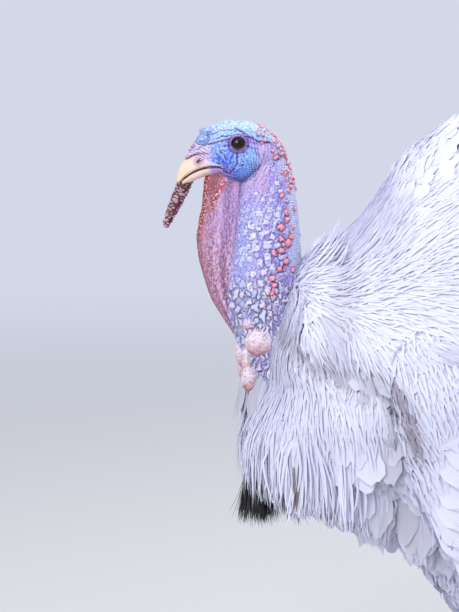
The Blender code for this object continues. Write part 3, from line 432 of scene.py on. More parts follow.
def remeshed(name, forms, voxel):
    """One closed skin round several closed forms."""
    item = new_mesh(name, *joined(forms))
    change = item.modifiers.new("remesh", "REMESH")
    change.mode = "VOXEL"
    change.voxel_size = voxel
    graph = bpy.context.evaluated_depsgraph_get()
    mesh = bpy.data.meshes.new_from_object(item.evaluated_get(graph))
    item.modifiers.clear()
    item.data = mesh
    mesh.shade_smooth()
    return item


def edges_of(item):
    ends = np.empty(len(item.data.edges) * 2, np.int32)
    item.data.edges.foreach_get("vertices", ends)
    return ends.reshape(-1, 2)


def spread(values, edges, rounds, share=0.5):
    """Mixes values with the mean of those at neighbouring points."""
    values = np.array(values, float)
    flat = values.reshape(len(values), -1)
    a, b = edges.T
    count = np.bincount(np.concatenate([a, b]), minlength=len(flat))[:, None]
    for _ in range(rounds):
        total = np.stack(
            [
                np.bincount(a, flat[b, k], len(flat)) + np.bincount(b, flat[a, k], len(flat))
                for k in range(flat.shape[1])
            ],
            axis=1,
        )
        flat = flat * (1 - share) + total / np.maximum(count, 1) * share
    return flat.reshape(values.shape)


def lumps(points, size, seed=0.0):
    """Smooth noise from about -1 to 1, with lumps about size across."""
    places = points / size + seed
    corner = np.floor(places).astype(np.int64)
    inside = places - corner
    fade = inside**3 * (inside * (inside * 6 - 15) + 10)
    total = np.zeros(len(points))
    for step_on in np.ndindex(2, 2, 2):
        x, y, z = (corner + step_on).T
        key = x * 73856093 ^ y * 19349663 ^ z * 83492791
        key = (key ^ (key >> 13)) * 1274126177 & 0x7FFFFFFF
        key ^= key >> 15
        slopes = np.stack([key & 1023, key >> 10 & 1023, key >> 20 & 1023], axis=-1) / 511.5 - 1
        weight = np.where(step_on, fade, 1 - fade).prod(axis=1)
        total += weight * (slopes * (inside - step_on)).sum(axis=1)
    return np.clip(total * 1.25, -1, 1)


def cells(points, size, seed=0.0):
    """For cells about size across: distance to the middle, lead over the next, and a number for each."""
    rows = np.empty((len(points), 3))
    for n, p in enumerate(points / size + seed):
        distances, centres = noise.voronoi(Vector(p))
        c = centres[0]
        number = (c[0] * 12.9898 + c[1] * 78.233 + c[2] * 37.7) % 1
        rows[n] = distances[0], distances[1] - distances[0], number
    return rows.T


def stroke(points, line, width):
    """1 on a line of the side view, fading over width. Places and width are in millimetres."""
    flat = points[:, (0, 2)] / MM
    nearest = np.full(len(points), np.inf)
    for a, b in zip(np.array(line[:-1], float), np.array(line[1:], float)):
        t = np.clip((flat - a) @ (b - a) / (b - a).dot(b - a), 0, 1)
        nearest = np.minimum(nearest, np.linalg.norm(flat - a - t[:, None] * (b - a), axis=1))
    return np.exp(-((nearest / width) ** 2))


def tree_of(form):
    return BVHTree.FromPolygons(form[0].tolist(), form[1])


def distances_to(tree, points):
    return np.array([tree.find_nearest(Vector(p))[3] for p in points])


def paint(colours, mask, colour):
    """Lays a colour over the others where mask is 1."""
    colours += mask[:, None] * (np.array(colour) - colours)


def one_colour(points, colour):
    return np.tile(colour, (len(points), 1))


def front_to_back(sections, points):
    """0 at the front of a neck or dewlap and 1 at its back."""
    rows = smooth_through(sections, 80)[::-1]
    front, back = (np.interp(points[:, 2], rows[:, 0], rows[:, n]) for n in (1, 2))
    return np.clip((points[:, 0] - front) / np.maximum(back - front, 1e-4), 0, 1)


def set_colours(item, colours):
    attribute = item.data.color_attributes.new("Colour", "FLOAT_COLOR", "POINT")
    rows = np.ones((len(colours), 4), np.float32)
    rows[:, :3] = linear(np.clip(colours, 0, 1))
    attribute.data.foreach_set("color", rows.ravel())


def side_at(sections, shape, x, z):
    """Half width of a body at x and height z."""
    power, belly = shape
    rows = smooth_through(sections, 120)
    a, b, half = (np.interp(x, rows[:, 0], rows[:, k]) for k in (1, 2, 3))
    low, high = min(a, b), max(a, b)
    middle = low + belly * (high - low)
    reach = (high - middle) if z > middle else (middle - low)
    share = min(abs(z - middle) / max(reach, 1e-6), 0.999)
    return half * (1 - share ** (2 / power)) ** (power / 2)


# Materials

def set_inputs(tree, node, inputs):
    """Sets each input to a value, or links it to another node's output."""
    for name, value in inputs.items():
        if isinstance(value, bpy.types.NodeSocket):
            tree.links.new(value, node.inputs[name])
        else:
            node.inputs[name].default_value = value


def add_node(tree, kind, inputs, **settings):
    node = tree.nodes.new(kind)
    for name, value in settings.items():
        setattr(node, name, value)
    set_inputs(tree, node, inputs)
    return node


def node_material(name):
    """A new material, its tree and its shader."""
    material = bpy.data.materials.new(name)
    material.use_nodes = True
    tree = material.node_tree
    return material, tree, tree.nodes["Principled BSDF"]


def point_colour(tree):
    """The colour kept on the mesh's points."""
    return add_node(tree, "ShaderNodeAttribute", {}, attribute_name="Colour").outputs["Color"]


def multiplied(tree, factor, first, second):
    """The first colour, multiplied with the second as far as factor says."""
    inputs = {"Factor": factor, "A": first, "B": second}
    node = add_node(tree, "ShaderNodeMix", inputs, data_type="RGBA", blend_type="MULTIPLY")
    return node.outputs["Result"]


def set_surface(tree, share, first, second):
    """Makes the material's surface a mix of two shaders."""
    mix = add_node(tree, "ShaderNodeMixShader", {"Fac": share, 1: first, 2: second})
    tree.links.new(mix.outputs["Shader"], tree.nodes["Material Output"].inputs["Surface"])


def add_bump(tree, shader, height, strength, distance):
    bump = add_node(
        tree, "ShaderNodeBump", {"Strength": strength, "Distance": distance, "Height": height}
    )
    tree.links.new(bump.outputs["Normal"], shader.inputs["Normal"])
    return bump


def object_texture(tree, kind, **inputs):
    """A texture in the object's own metres."""
    place = tree.nodes.new("ShaderNodeTexCoord")
    return add_node(tree, kind, {**inputs, "Vector": place.outputs["Object"]})


def skin_material(name="bare_skin", roughness=0.46):
    """Moist bare skin in the colours kept on its points."""
    material, tree, shader = node_material(name)
    grain = object_texture(tree, "ShaderNodeTexNoise", Scale=900.0, Detail=3.0)
    mottled = multiplied(tree, 0.10, point_colour(tree), grain.outputs["Color"])
    set_inputs(tree, shader, {
        "Base Color": mottled, "Roughness": roughness, "Subsurface Weight": 0.12,
        "Subsurface Radius": (0.004, 0.002, 0.0015), "Subsurface Scale": 1.0,
    })
    pores = object_texture(tree, "ShaderNodeTexVoronoi", Scale=1400.0)
    add_bump(tree, shader, pores.outputs["Distance"], 0.35, 0.0004)
    return material


# Feathers' looks: the shaft's half width as a share of the vane's, how dark it is and its tint, how
# the barbs slant and how close their waves are, and how much light comes through.
SHAFT_WIDTH = 0.025
SHAFT_DARKNESS = 0.28
SHAFT_TINT = (0.72, 0.70, 0.74, 1.0)
BARB_SLANT = -0.8
BARB_WAVES = 11.0
TRANSLUCENCE = 0.40


def off_shaft(tree, split):
    """How far off its shaft a place on the vane lies."""
    centred = add_node(tree, "ShaderNodeMath", {0: split.outputs["X"], 1: 0.5}, operation="SUBTRACT")
    off = add_node(tree, "ShaderNodeMath", {0: centred.outputs["Value"]}, operation="ABSOLUTE")
    return off.outputs["Value"]


def barb_waves(tree, split, off):
    """Waves that run out and forward from the shaft."""
    inputs = {0: off, 1: BARB_SLANT, 2: split.outputs["Y"]}
    slant = add_node(tree, "ShaderNodeMath", inputs, operation="MULTIPLY_ADD")
    place = add_node(tree, "ShaderNodeCombineXYZ", {"X": slant.outputs["Value"]})
    inputs = {"Scale": BARB_WAVES, "Distortion": 1.5, "Vector": place.outputs["Vector"]}
    waves = add_node(tree, "ShaderNodeTexWave", inputs, wave_type="BANDS", bands_direction="X")
    return waves.outputs["Fac"]


def feather_material():
    """Soft white vanes: barbs run out and forward from the shaft, and light comes through."""
    material, tree, shader = node_material("feather")
    vane = add_node(tree, "ShaderNodeUVMap", {}, uv_map="Vane")
    split = add_node(tree, "ShaderNodeSeparateXYZ", {"Vector": vane.outputs["UV"]})
    off = off_shaft(tree, split)
    inputs = {"From Max": SHAFT_WIDTH, "To Min": SHAFT_DARKNESS, "To Max": 0.0, "Value": off}
    shaft = add_node(tree, "ShaderNodeMapRange", inputs)
    tinted = multiplied(tree, shaft.outputs["Result"], point_colour(tree), SHAFT_TINT)
    set_inputs(tree, shader, {
        "Base Color": tinted, "Roughness": 0.70, "Sheen Weight": 0.20, "Sheen Roughness": 0.5,
    })
    bump = add_bump(tree, shader, barb_waves(tree, split, off), 0.16, 0.0006)
    inputs = {"Color": tinted, "Normal": bump.outputs["Normal"]}
    through = add_node(tree, "ShaderNodeBsdfTranslucent", inputs)
    set_surface(tree, TRANSLUCENCE, shader.outputs["BSDF"], through.outputs["BSDF"])
    return material


def painted_material(name, inputs):
    """A material in the colours kept on the mesh's points."""
    material, tree, shader = node_material(name)
    set_inputs(tree, shader, {"Base Color": point_colour(tree), **inputs})
    return material


def horn_material():
    material, tree, shader = node_material("horn")
    set_inputs(tree, shader, {"Base Color": point_colour(tree), "Roughness": 0.34})
    grain = object_texture(tree, "ShaderNodeTexNoise", Scale=700.0, Detail=4.0)
    add_bump(tree, shader, grain.outputs["Fac"], 0.3, 0.0003)
    return material


def bristle_material():
    return painted_material("bristle", {"Roughness": 0.5})


def eye_material():
    return painted_material("eye", {"Roughness": 0.06, "Specular IOR Level": 0.30})


CLAW_COLOUR = (0.84, 0.72, 0.58)


def claw_material():
    """Cream horn with grain in tone and relief."""
    material, tree, shader = node_material("claw_horn")
    grain = object_texture(tree, "ShaderNodeTexNoise", Scale=500.0, Detail=4.0)
    ramp = add_node(tree, "ShaderNodeValToRGB", {"Fac": grain.outputs["Fac"]})
    ramp.color_ramp.elements[0].color = (*(linear(CLAW_COLOUR) * 0.82), 1.0)
    ramp.color_ramp.elements[1].color = (*linear(CLAW_COLOUR), 1.0)
    set_inputs(tree, shader, {"Base Color": ramp.outputs["Color"], "Roughness": 0.38})
    add_bump(tree, shader, grain.outputs["Fac"], 0.3, 0.0003)
    return material


# Feathers

VANE_THICKNESS = 0.0004
MOST_TRIANGLES = 180000


def feather_faces(rows, columns):
    """Quads of one closed vane: its outer side, then its inner side. Each has its own points on
    the edge, in the same places, so that both sides take the light up to the edge."""
    outer = np.arange(rows * columns).reshape(rows, columns)
    quads = []
    for ids, turn in ((outer, 1), (outer + rows * columns, -1)):
        square = np.stack([ids[:-1, :-1], ids[:-1, 1:], ids[1:, 1:], ids[1:, :-1]], axis=-1)
        quads.append(square.reshape(-1, 4)[:, ::turn])
    return np.vstack(quads)


# Shapes of vanes: places from root to tip, each with its width as a share of the greatest.
BODY_VANE = ((0.0, 0.25), (0.3, 0.72), (0.6, 1.0), (0.85, 0.92), (1.0, 0.52))
FAN_VANE = ((0.0, 0.16), (0.35, 0.45), (0.75, 0.92), (0.95, 1.0), (1.0, 0.80))
LEAF_VANE = ((0.0, 0.3), (0.35, 0.9), (0.6, 1.0), (0.85, 0.6), (1.0, 0.08))
STRAND_VANE = ((0.0, 0.7), (0.4, 1.0), (0.75, 0.75), (1.0, 0.15))
FLIGHT_VANE = ((0.0, 0.22), (0.15, 0.6), (0.5, 0.95), (0.85, 1.0), (0.96, 0.72), (1.0, 0.30))
TAIL_VANE = ((0.0, 0.20), (0.2, 0.50), (0.6, 0.86), (0.85, 1.0), (0.95, 0.98), (1.0, 0.88))


def vane_arrays(centres, faces, widths, shape, draw, columns=5, cup=0.10, ragged=0.10, smooth=None):
    """Points of closed vanes and the directions that their surfaces face for the light.

    centres and faces have one row of places and outward sides a feather. smooth, if given, has
    the directions of the plumage below, and how much of them the vanes take over."""
    count, rows = centres.shape[:2]
    along = unit(np.gradient(centres, axis=1))
    flat = unit(faces - along * (along * faces).sum(-1, keepdims=True))
    side = np.cross(along, flat)
    t = np.linspace(0, 1, rows)
    places, shares = zip(*shape)
    half = widths[:, None] / 2 * np.interp(t, places, shares)[None]
    across = np.linspace(-1, 1, columns)
    length = np.linalg.norm(centres[:, -1] - centres[:, 0], axis=-1)
    jag = draw.uniform(-1, 0.25, (count, columns)) * ragged * length[:, None]
    jag -= (ragged * length)[:, None] * 0.8 * across**2
    outer = centres[:, :, None] + side[:, :, None] * (half[..., None] * across)[..., None]
    outer -= flat[:, :, None] * (cup * half[..., None] * across**2)[..., None]
    outer += along[:, :, None] * (jag[:, None] * (t**4)[None, :, None])[..., None]
    depth = VANE_THICKNESS * (np.sin(np.pi * t) ** 0.5)[:, None] * (1 - across**2)
    inner = outer - flat[:, :, None] * depth[None, ..., None]
    points = np.concatenate([outer.reshape(count, -1, 3), inner.reshape(count, -1, 3)], axis=1)
    facing = unit(flat[:, :, None] + side[:, :, None] * (2 * cup * across)[None, None, :, None])
    back = -facing
    if smooth is not None:
        below, share = smooth[0][:, :, None], smooth[1]
        share = share * np.clip((facing * below).sum(-1, keepdims=True), 0, 1)
        back = unit(0.6 * below - facing)
        facing = unit(facing * (1 - share) + below * share)
    light = np.concatenate([facing.reshape(count, -1, 3), back.reshape(count, -1, 3)], axis=1)
    u = np.repeat(across[None] * 0.5 + 0.5, rows, axis=0)
    v = np.repeat(t[:, None], columns, axis=1)
    local = np.tile(np.stack([u, v], axis=-1).reshape(-1, 2), (2, 1))
    return points, light, local, feather_faces(rows, columns)


def unwrap(points):
    """A place from 0 to 1 on the body's skin: along the bird, and round it from the belly."""
    along = (points[:, 0] + 0.02) / 0.62
    turn = np.arctan2(points[:, 1], 0.45 - points[:, 2]) / (2 * np.pi) + 0.5
    return np.clip(np.stack([along, turn], axis=-1), 0.002, 0.995)


def coat_mesh(name, vanes, tones, material, nodes=(), slot="feather"):
    """Joins the vanes into one mesh, with both UV maps and a tone for each feather."""
    points, light, local, quads = vanes
    count, size = points.shape[:2]
    mesh = bpy.data.meshes.new(name)
    moved = (points + (HOME_X, 0, 0)).reshape(-1, 3).astype(np.float32)
    every = (quads[None] + (np.arange(count) * size)[:, None, None]).reshape(-1).astype(np.int32)
    faces = len(quads) * count
    mesh.vertices.add(len(moved))
    mesh.vertices.foreach_set("co", moved.ravel())
    mesh.loops.add(len(every))
    mesh.loops.foreach_set("vertex_index", every)
    mesh.polygons.add(faces)
    mesh.polygons.foreach_set("loop_start", np.arange(faces, dtype=np.int32) * 4)
    mesh.update(calc_edges=True)
    mesh.shade_smooth()
    facing = mesh.attributes.new("custom_normal", "FLOAT_VECTOR", "POINT")
    facing.data.foreach_set("vector", light.reshape(-1).astype(np.float32))
    vane = np.tile(local, (count, 1))
    patch = np.repeat(unwrap(points[:, 0]), size, axis=0) + (vane - 0.5) * 0.003
    for map_name, places in (("OFBake", patch), ("Vane", vane)):
        uv = mesh.uv_layers.new(name=map_name)
        uv.data.foreach_set("uv", places[every].astype(np.float32).ravel())
    colours = np.ones((count, size, 4), np.float32)
    colours[..., :3] = linear(np.clip(tones, 0, 1))[:, None]
    attribute = mesh.color_attributes.new("Colour", "FLOAT_COLOR", "POINT")
    attribute.data.foreach_set("color", colours.ravel())
    dress(add_object(name, mesh), material, slot, *nodes)


def coat_pieces(name, vanes, roots, tones, material, nodes=()):
    """One mesh or more, so that none has too many faces for the library."""
    points, light, local, quads = vanes
    parts = math.ceil(len(points) * len(quads) * 2 / MOST_TRIANGLES)
    order = np.argsort(roots[:, 1])
    for k, part in enumerate(np.array_split(order, parts)):
        piece = (points[part], light[part], local, quads)
        coat_mesh(f"{name}_{k}", piece, tones[part], material, nodes if k == 0 else ())


def tones_for(roots, draw, base=WHITE, vary=0.010, shaded=0.75):
    """A tone for each feather, with painted shade where it lies in a fold of the plumage."""
    count = len(roots)
    shade = draw.normal(0, vary, (count, 1))
    tint = draw.normal(0, vary * 0.4, (count, 1)) * np.array((-1.0, -0.2, 1.0))
    tones = np.array(base) + shade + tint
    side = step(0.02, 0.08, np.abs(roots[:, 1]))
    dark = np.zeros(count)
    for line, width, depth in GROOVES:
        dark = np.maximum(dark, stroke(roots, line, width * 0.8) * depth / 18)
    paint(tones, dark * side * shaded, FOLD_SHADE)
    return tones


def coat_form():
    """The outer form of the body's plumage, with its masses and the grooves between them."""
    points, faces = loft(rings_along_x(TORSO, 110, 120, *TORSO_SHAPE))
    normals = form_normals(points, faces)
    side = step(0.25, 0.7, np.abs(normals[:, 1]))
    height = lumps(points, 0.06) * 2.5
    for x, z, along, up, rise in MASSES:
        far = ((points[:, 0] / MM - x) / along) ** 2 + ((points[:, 2] / MM - z) / up) ** 2
        height += rise * np.exp(-far) * side
    line, width, rise = SHOULDER
    height += stroke(points, line, width) * side * rise
    for line, width, depth in GROOVES:
        height -= stroke(points, line, width) * side * depth
    height -= FRONT_INSET * step(0.1, 0.7, -normals[:, 0]) * step(0.45, 0.41, points[:, 2])
    return points + normals * (height * MM)[:, None], faces


def seeds_on(form, spacing, draw):
    """Places spread evenly on a form."""
    points, faces = form
    quads = np.array([f for f in faces if len(f) == 4])
    a, b, c, d = (points[quads[:, k]] for k in range(4))
    area = np.linalg.norm(np.cross(c - a, d - b), axis=1) / 2
    tries = int(area.sum() / spacing**2 * 6)
    pick = draw.choice(len(quads), tries, p=area / area.sum())
    u, v = draw.uniform(0, 1, (2, tries, 1))
    places = (a[pick] * (1 - u) + b[pick] * u) * (1 - v) + (d[pick] * (1 - u) + c[pick] * u) * v
    kept, grid = [], {}
    for p in places:
        key = tuple((p // spacing).astype(int))
        near = [
            q for i in (-1, 0, 1) for j in (-1, 0, 1) for k in (-1, 0, 1)
            for q in grid.get((key[0] + i, key[1] + j, key[2] + k), ())
        ]
        if all((p - q).dot(p - q) > spacing**2 * 0.8 for q in near):
            grid.setdefault(key, []).append(p)
            kept.append(p)
    return np.array(kept)


def lie_at(points):
    """Direction, length, width and lift of the plumage at places on the body."""
    table = np.array(LIE, float)
    flat = points[:, (0, 2)] / MM
    gap = ((flat[:, None] - table[None, :, :2]) ** 2).sum(-1)
    share = 1 / (gap + 400) ** 1.6
    share /= share.sum(1, keepdims=True)
    return share @ table[:, 2:]


# Raised feathers: the stretch where they root (along, up and out from the middle, in
# millimetres), their spacing, their lie as in LIE, their shape and more.
TUFTS = (
    (((196, 450), (640, 720), (0, 120)), 0.0130, (0.32, 1.0, 46, 28, 15), BODY_VANE, {"ragged": 0.14}),
    (((150, 215), (600, 720), (0, 130)), 0.0110, (0.55, 0.9, 40, 22, 8), BODY_VANE, {"ragged": 0.14}),
    (((60, 104), (543, 570), (0, 150)), 0.0085, (0.85, 0.55, 30, 7, 30), STRAND_VANE, {"columns": 3}),
    (((350, 460), (470, 680), (0, 190)), 0.0140, (0.60, 0.80, 62, 36, 26), BODY_VANE, {"ragged": 0.15}),
    (((380, 460), (280, 480), (0, 190)), 0.0140, (0.60, -0.70, 56, 34, 22), BODY_VANE, {"ragged": 0.15}),
)
TURNED_AWAY = -0.35    # how far down the form faces where hanging feathers leave it


def march(tree, roots, headings, lengths, rise, rows, hang=0.0):
    """Lines of places that run along a form. rise is how high over it each place lies.

    With hang above 0 a line leaves the form where it turns away below, and sinks by that much."""
    centres, faces = np.empty((len(roots), rows, 3)), np.empty((len(roots), rows, 3))
    down = np.array((0.0, 0.0, -hang))
    for n in range(len(roots)):
        place, heading = roots[n], headings[n]
        for k in range(rows):
            if k:
                place = place + heading * lengths[n] / (rows - 1)
            near, normal, _, _ = tree.find_nearest(Vector(place))
            near, normal = np.array(near), np.array(normal)
            if hang > 0 and k and normal[2] < TURNED_AWAY:
                heading = unit(heading + down)
                normal = faces[n, k - 1]
            else:
                place = near + normal * rise[n, k]
                heading = unit(heading - normal * heading.dot(normal) + down * 0.3)
            centres[n, k], faces[n, k] = place, normal
    return centres, faces


def along_skin(headings, normals):
    """The headings, turned to run along the skin."""
    return unit(headings - normals * (headings * normals).sum(1, keepdims=True))


# How feathers lie, unless a call says otherwise: how much their headings stray, the rows and columns
# of their points, how high they start, how much they hang, how hollow and how ragged they are, and
# how much of the light's direction they take from the plumage below.
COVER_LOOKS = {
    "stray": 0.10, "rows": 7, "columns": 5, "rise": 0.0, "hang": 0.0, "cup": 0.08, "ragged": 0.12,
    "soft": 0.84,
}
PARTING = 0.15    # how far feathers on the back and the belly turn away from the middle
COAT_VARY = 0.008


def cover(name, form, material, spacing, lie, shape, nodes=(), keep=None, seed=11, **changes):
    """Overlapping feathers over a whole form. lie gives direction, length, width and lift."""
    looks = {**COVER_LOOKS, **changes}
    draw = np.random.default_rng(seed)
    tree = tree_of(form)
    roots = seeds_on(form, spacing, draw)
    if keep is not None:
        roots = roots[keep(roots)]
    normals = np.array([tree.find_nearest(Vector(p))[1] for p in roots])
    values = lie(roots)
    part = PARTING * np.sign(roots[:, 1]) * np.abs(normals[:, 2])
    ahead = np.column_stack([values[:, 0], part, values[:, 1]])
    ahead += draw.normal(0, looks["stray"], ahead.shape)
    ahead = along_skin(ahead, normals)
    lengths = values[:, 2] * MM * draw.uniform(0.85, 1.15, len(roots))
    widths = values[:, 3] * MM * draw.uniform(0.85, 1.15, len(roots))
    rows = looks["rows"]
    lift = np.tan(np.radians(values[:, 4])) * draw.uniform(0.6, 1.3, len(roots))
    rise = looks["rise"] - COAT_DEPTH + (lift * lengths)[:, None] * np.linspace(0, 1, rows)[None]
    centres, faces = march(tree, roots, ahead, lengths, rise, rows, looks["hang"])
    vanes = vane_arrays(
        centres, faces, widths, shape, draw, looks["columns"], looks["cup"], looks["ragged"],
        (faces, looks["soft"]),
    )
    tones = tones_for(centres[:, rows // 2], draw, vary=COAT_VARY)
    coat_pieces(name, vanes, roots, tones, material, nodes)


def clear_of(forms, gap):
    """Tells which places lie further than gap outside the forms."""
    trees = [tree_of(form) for form in forms]

    def outside(places):
        keep = np.ones(len(places), bool)
        for tree in trees:
            for n, p in enumerate(places):
                near, normal, _, far = tree.find_nearest(Vector(p))
                keep[n] &= far > gap and (Vector(p) - near).dot(normal) > 0
        return keep

    return outside


# Barbs beside the feathers below them: what their lie is multiplied with, and what is added.
BARB_LIE = ((1, 1, 0.72, 0, 0.16), (0, 0, 0, 2.6, 0.6))
BARB_LOOKS = {"columns": 3, "rows": 4, "stray": 0.15, "cup": 0.0, "hang": 0.12, "soft": 0.96}


def barbs(name, form, material, lie, seed, keep=None, spacing=BARB_SPACING, rise=0.0054):
    """Fine loose barbs over a form: they soften the edges of the feathers below."""

    def finer(points):
        return lie(points) * BARB_LIE[0] + BARB_LIE[1]

    cover(name, form, material, spacing, finer, STRAND_VANE, (), keep, seed, rise=rise, **BARB_LOOKS)


COAT_LOOKS = {"rise": 0.0024, "hang": 0.12, "soft": 0.92, "rows": 6}
TUFT_LOOKS = {"stray": 0.16, "rise": 0.003, "soft": 0.35}


def body_coat(form, material):
    """Broad feathers over the torso, fine barbs over them, and the raised feathers of the back."""
    bare = clear_of([head_forms()["neck"]], 0.002)

    def flatter(points):
        return lie_at(points) * (1, 1, 1, 1, 0.30)

    cover("coat", form, material, COAT_SPACING, flatter, BODY_VANE, ("torso",), bare, **COAT_LOOKS)
    barbs("barbs", form, material, lie_at, 12, bare)
    for n, (reach, spacing, lie, shape, looks) in enumerate(TUFTS):
        cover(
            f"tuft_{n}", form, material, spacing, constant(lie), shape, (), within(reach), 61 + n,
            **{**TUFT_LOOKS, **looks},
        )


def constant(values):
    """A lie that is the same everywhere."""
    return lambda points: np.tile(np.array(values, float), (len(points), 1))


def within(reach):
    """Tells which places lie in a stretch along the bird, one up it and one out from its middle."""
    low, high = np.array(reach, float).T * MM

    def inside(places):
        flat = np.column_stack([places[:, 0], places[:, 2], np.abs(places[:, 1])])
        return ((flat > low) & (flat < high)).all(axis=1)

    return inside


def hem_at(places):
    x, z = np.array(HEM_LINE).T * MM
    return np.interp(places, x, z)


# How hanging feathers lie, unless a row of FRINGES says otherwise: their slant, bow and rows and
# columns of points, how far they stand off, the width of the locks that they gather in, how hollow and
# ragged they are, how much of the light's direction they take from the plumage, and their shade.
FRINGE_LOOKS = {
    "slant": 0.0, "bow": 0.05, "rows": 7, "columns": 5, "stand": 0.004, "lock": 0.0, "cup": 0.12,
    "ragged": 0.08, "soft": 0.5, "shade": 0.0,
}
FRINGE_DEPTH = 0.004    # how deep in the plumage hanging feathers start
# Loose feathers of the lower edge: name, stretch along the bird, count, least and greatest length,
# width, shape, seed and looks. Strands and fans are in front, and soft fluff behind.
FRINGES = (
    ("fluff", (0.130, 0.350), 700, (0.055, 0.100), 0.030, BODY_VANE, 41,
     {"stand": 0.008, "soft": 0.85, "ragged": 0.14}),
    ("fluff_strands", (0.110, 0.350), 1900, (0.040, 0.095), 0.0036, STRAND_VANE, 42,
     {"columns": 3, "rows": 6, "stand": 0.012, "bow": 0.08, "soft": 0.85}),
    ("under", (0.000, 0.140), 460, (0.045, 0.085), 0.009, STRAND_VANE, 45,
     {"stand": 0.001, "shade": 0.9}),
    ("hem", (0.040, 0.140), 120, (0.050, 0.085), 0.020, FAN_VANE, 43,
     {"columns": 9, "stand": 0.005, "ragged": 0.14}),
    ("locks", (-0.002, 0.075), 620, (0.050, 0.115), 0.0034, STRAND_VANE, 44,
     {"columns": 3, "stand": 0.004, "bow": 0.06, "slant": -0.10, "lock": 0.019}),
    ("loose_locks", (0.055, 0.150), 700, (0.040, 0.110), 0.0032, STRAND_VANE, 46,
     {"columns": 3, "stand": 0.011, "bow": 0.10, "lock": 0.023}),
)


def hanging_roots(tree, x, side, z):
    """Places on the form near the body's sides, and the directions that it faces there."""
    out = np.array([side_at(TORSO, TORSO_SHAPE, a, b) for a, b in zip(x, z)])
    near = [tree.find_nearest(Vector(p)) for p in np.column_stack([x, side * out, z])]
    return np.array([hit[0] for hit in near]), np.array([hit[1] for hit in near])


def fringe(form, material, name, reach, count, drop, width, shape, seed, changes):
    """Feathers that hang from both sides of the body down to the hem line."""
    looks = {**FRINGE_LOOKS, **changes}
    draw = np.random.default_rng(seed)
    tree = tree_of(form)
    x = draw.uniform(*reach, count)
    side = np.where(np.arange(count) % 2, 1.0, -1.0)
    lengths = draw.uniform(*drop, count)
    z = hem_at(x) + lengths + draw.normal(0, 0.006, count)
    roots, normals = hanging_roots(tree, x, side, z)
    ahead = np.column_stack([draw.normal(looks["slant"], 0.10, count), 0.04 * side, -np.ones(count)])
    ahead = along_skin(ahead, normals)
    t = np.linspace(0, 1, looks["rows"])
    stand = looks["stand"] * draw.uniform(0.6, 1.4, count)
    rise = -FRINGE_DEPTH + (FRINGE_DEPTH + stand)[:, None] * np.minimum(t * 2.2, 1)[None]
    centres, faces = march(tree, roots, ahead, lengths, rise, looks["rows"], 0.3)
    bow = draw.normal(0, looks["bow"], count)
    bow = np.sin(np.pi * t)[None] * (bow * lengths)[:, None]
    centres += bow[..., None] * np.cross(faces, (0.0, 0.0, 1.0))
    lock = looks["lock"]
    if lock:
        middle = (np.floor(x / lock) + 0.5) * lock
        centres[..., 0] += ((middle - x) * 0.75)[:, None] * t[None] ** 1.5
    widths = width * draw.uniform(0.7, 1.2, count)
    vanes = vane_arrays(
        centres, faces, widths, shape, draw, looks["columns"], looks["cup"], looks["ragged"],
        (faces, looks["soft"]),
    )
    tones = tones_for(roots, draw)
    paint(tones, np.full(count, looks["shade"]), UNDER_SHADE)
    coat_pieces(name, vanes, roots, tones, material)


def skirt(form, material):
    """Loose feathers of the lower edge."""
    for row in FRINGES:
        fringe(form, material, *row)


def limb_coat(form_of, name, material, lie, nodes, **looks):
    """Feathers and barbs over a limb of each side. form_of gives the limb's form for a side."""
    for side, end in ((-1, "left"), (1, "right")):
        replaced = tuple(node + "_" + end for node in nodes)
        cover(f"{name}_{end}", form_of(side), material, 0.0090, lie, BODY_VANE, replaced, **looks)
        barbs(f"{name}_barbs_{end}", form_of(side), material, lie, 15, spacing=0.0056, rise=0.0062)


THIGH_FLATNESS = 0.86
THIGH_LIE = (0.15, -1.0, 42, 24, 7)


def thigh_form(side, inset=0.0):
    path = np.array(THIGH_PATH) * (1, side, 1)
    return loft(tube_rings(path, [r - inset for r in THIGH_RADII], 24, 24, THIGH_FLATNESS))


# The feathered part of the drooped wing in the side view, in millimetres: place and half width.
WING_PATH = (
    (208, 484, 26), (200, 452, 44), (207, 410, 49), (220, 360, 49), (235, 310, 45), (250, 268, 27),
    (262, 240, 9),
)


def wing_form(side):
    path = []
    for x, z, _ in np.array(WING_PATH) * MM:
        out = side_at(TORSO, TORSO_SHAPE, x, max(z, 0.345)) + 0.008 + 0.012 * step(0.46, 0.38, z)
        path.append((x, side * out, z))
    return loft(tube_rings(path, [half * MM for _, _, half in WING_PATH], 40, 36, 0.30))


def wing_lie(points):
    """Small feathers above and longer, looser ones below."""
    low = step(0.36, 0.26, points[:, 2])
    rows = np.tile((0.38, -0.92, 30.0, 20.0, 6.0), (len(points), 1))
    return rows + low[:, None] * (0, 0, 34, 8, 2)


BRISTLE_COUNT = 700
BRISTLE_LENGTHS = (0.040, 0.062)
BRISTLE_WIDTH = 0.0011
BRISTLE_COLOUR = (0.10, 0.09, 0.10)


def beard(material):
    """Long coarse bristles."""
    draw = np.random.default_rng(51)
    count = BRISTLE_COUNT
    turn, off = draw.uniform(0, 2 * np.pi, count), np.sqrt(draw.uniform(0, 1, count))
    away = np.column_stack([np.cos(turn), np.sin(turn), np.zeros(count)]) * off[:, None]
    roots = np.array(BEARD_ROOT) + away * BEARD_CORE
    headings = unit(away * 0.22 + draw.normal(0, 0.05, (count, 3)) + (0.06, 0.0, -1.0))
    faces = unit(away + (0.0, 0.01, 0.0))
    lengths = draw.uniform(*BRISTLE_LENGTHS, count)
    centres, sides = straight(roots, headings, faces, lengths, draw.normal(0, 0.06, count), 5)
    vanes = vane_arrays(centres, sides, np.full(count, BRISTLE_WIDTH), STRAND_VANE, draw, 3, 0.0, 0.02)
    coat_mesh("bristles", vanes, one_colour(roots, BRISTLE_COLOUR), material, ("beard",), "beard")


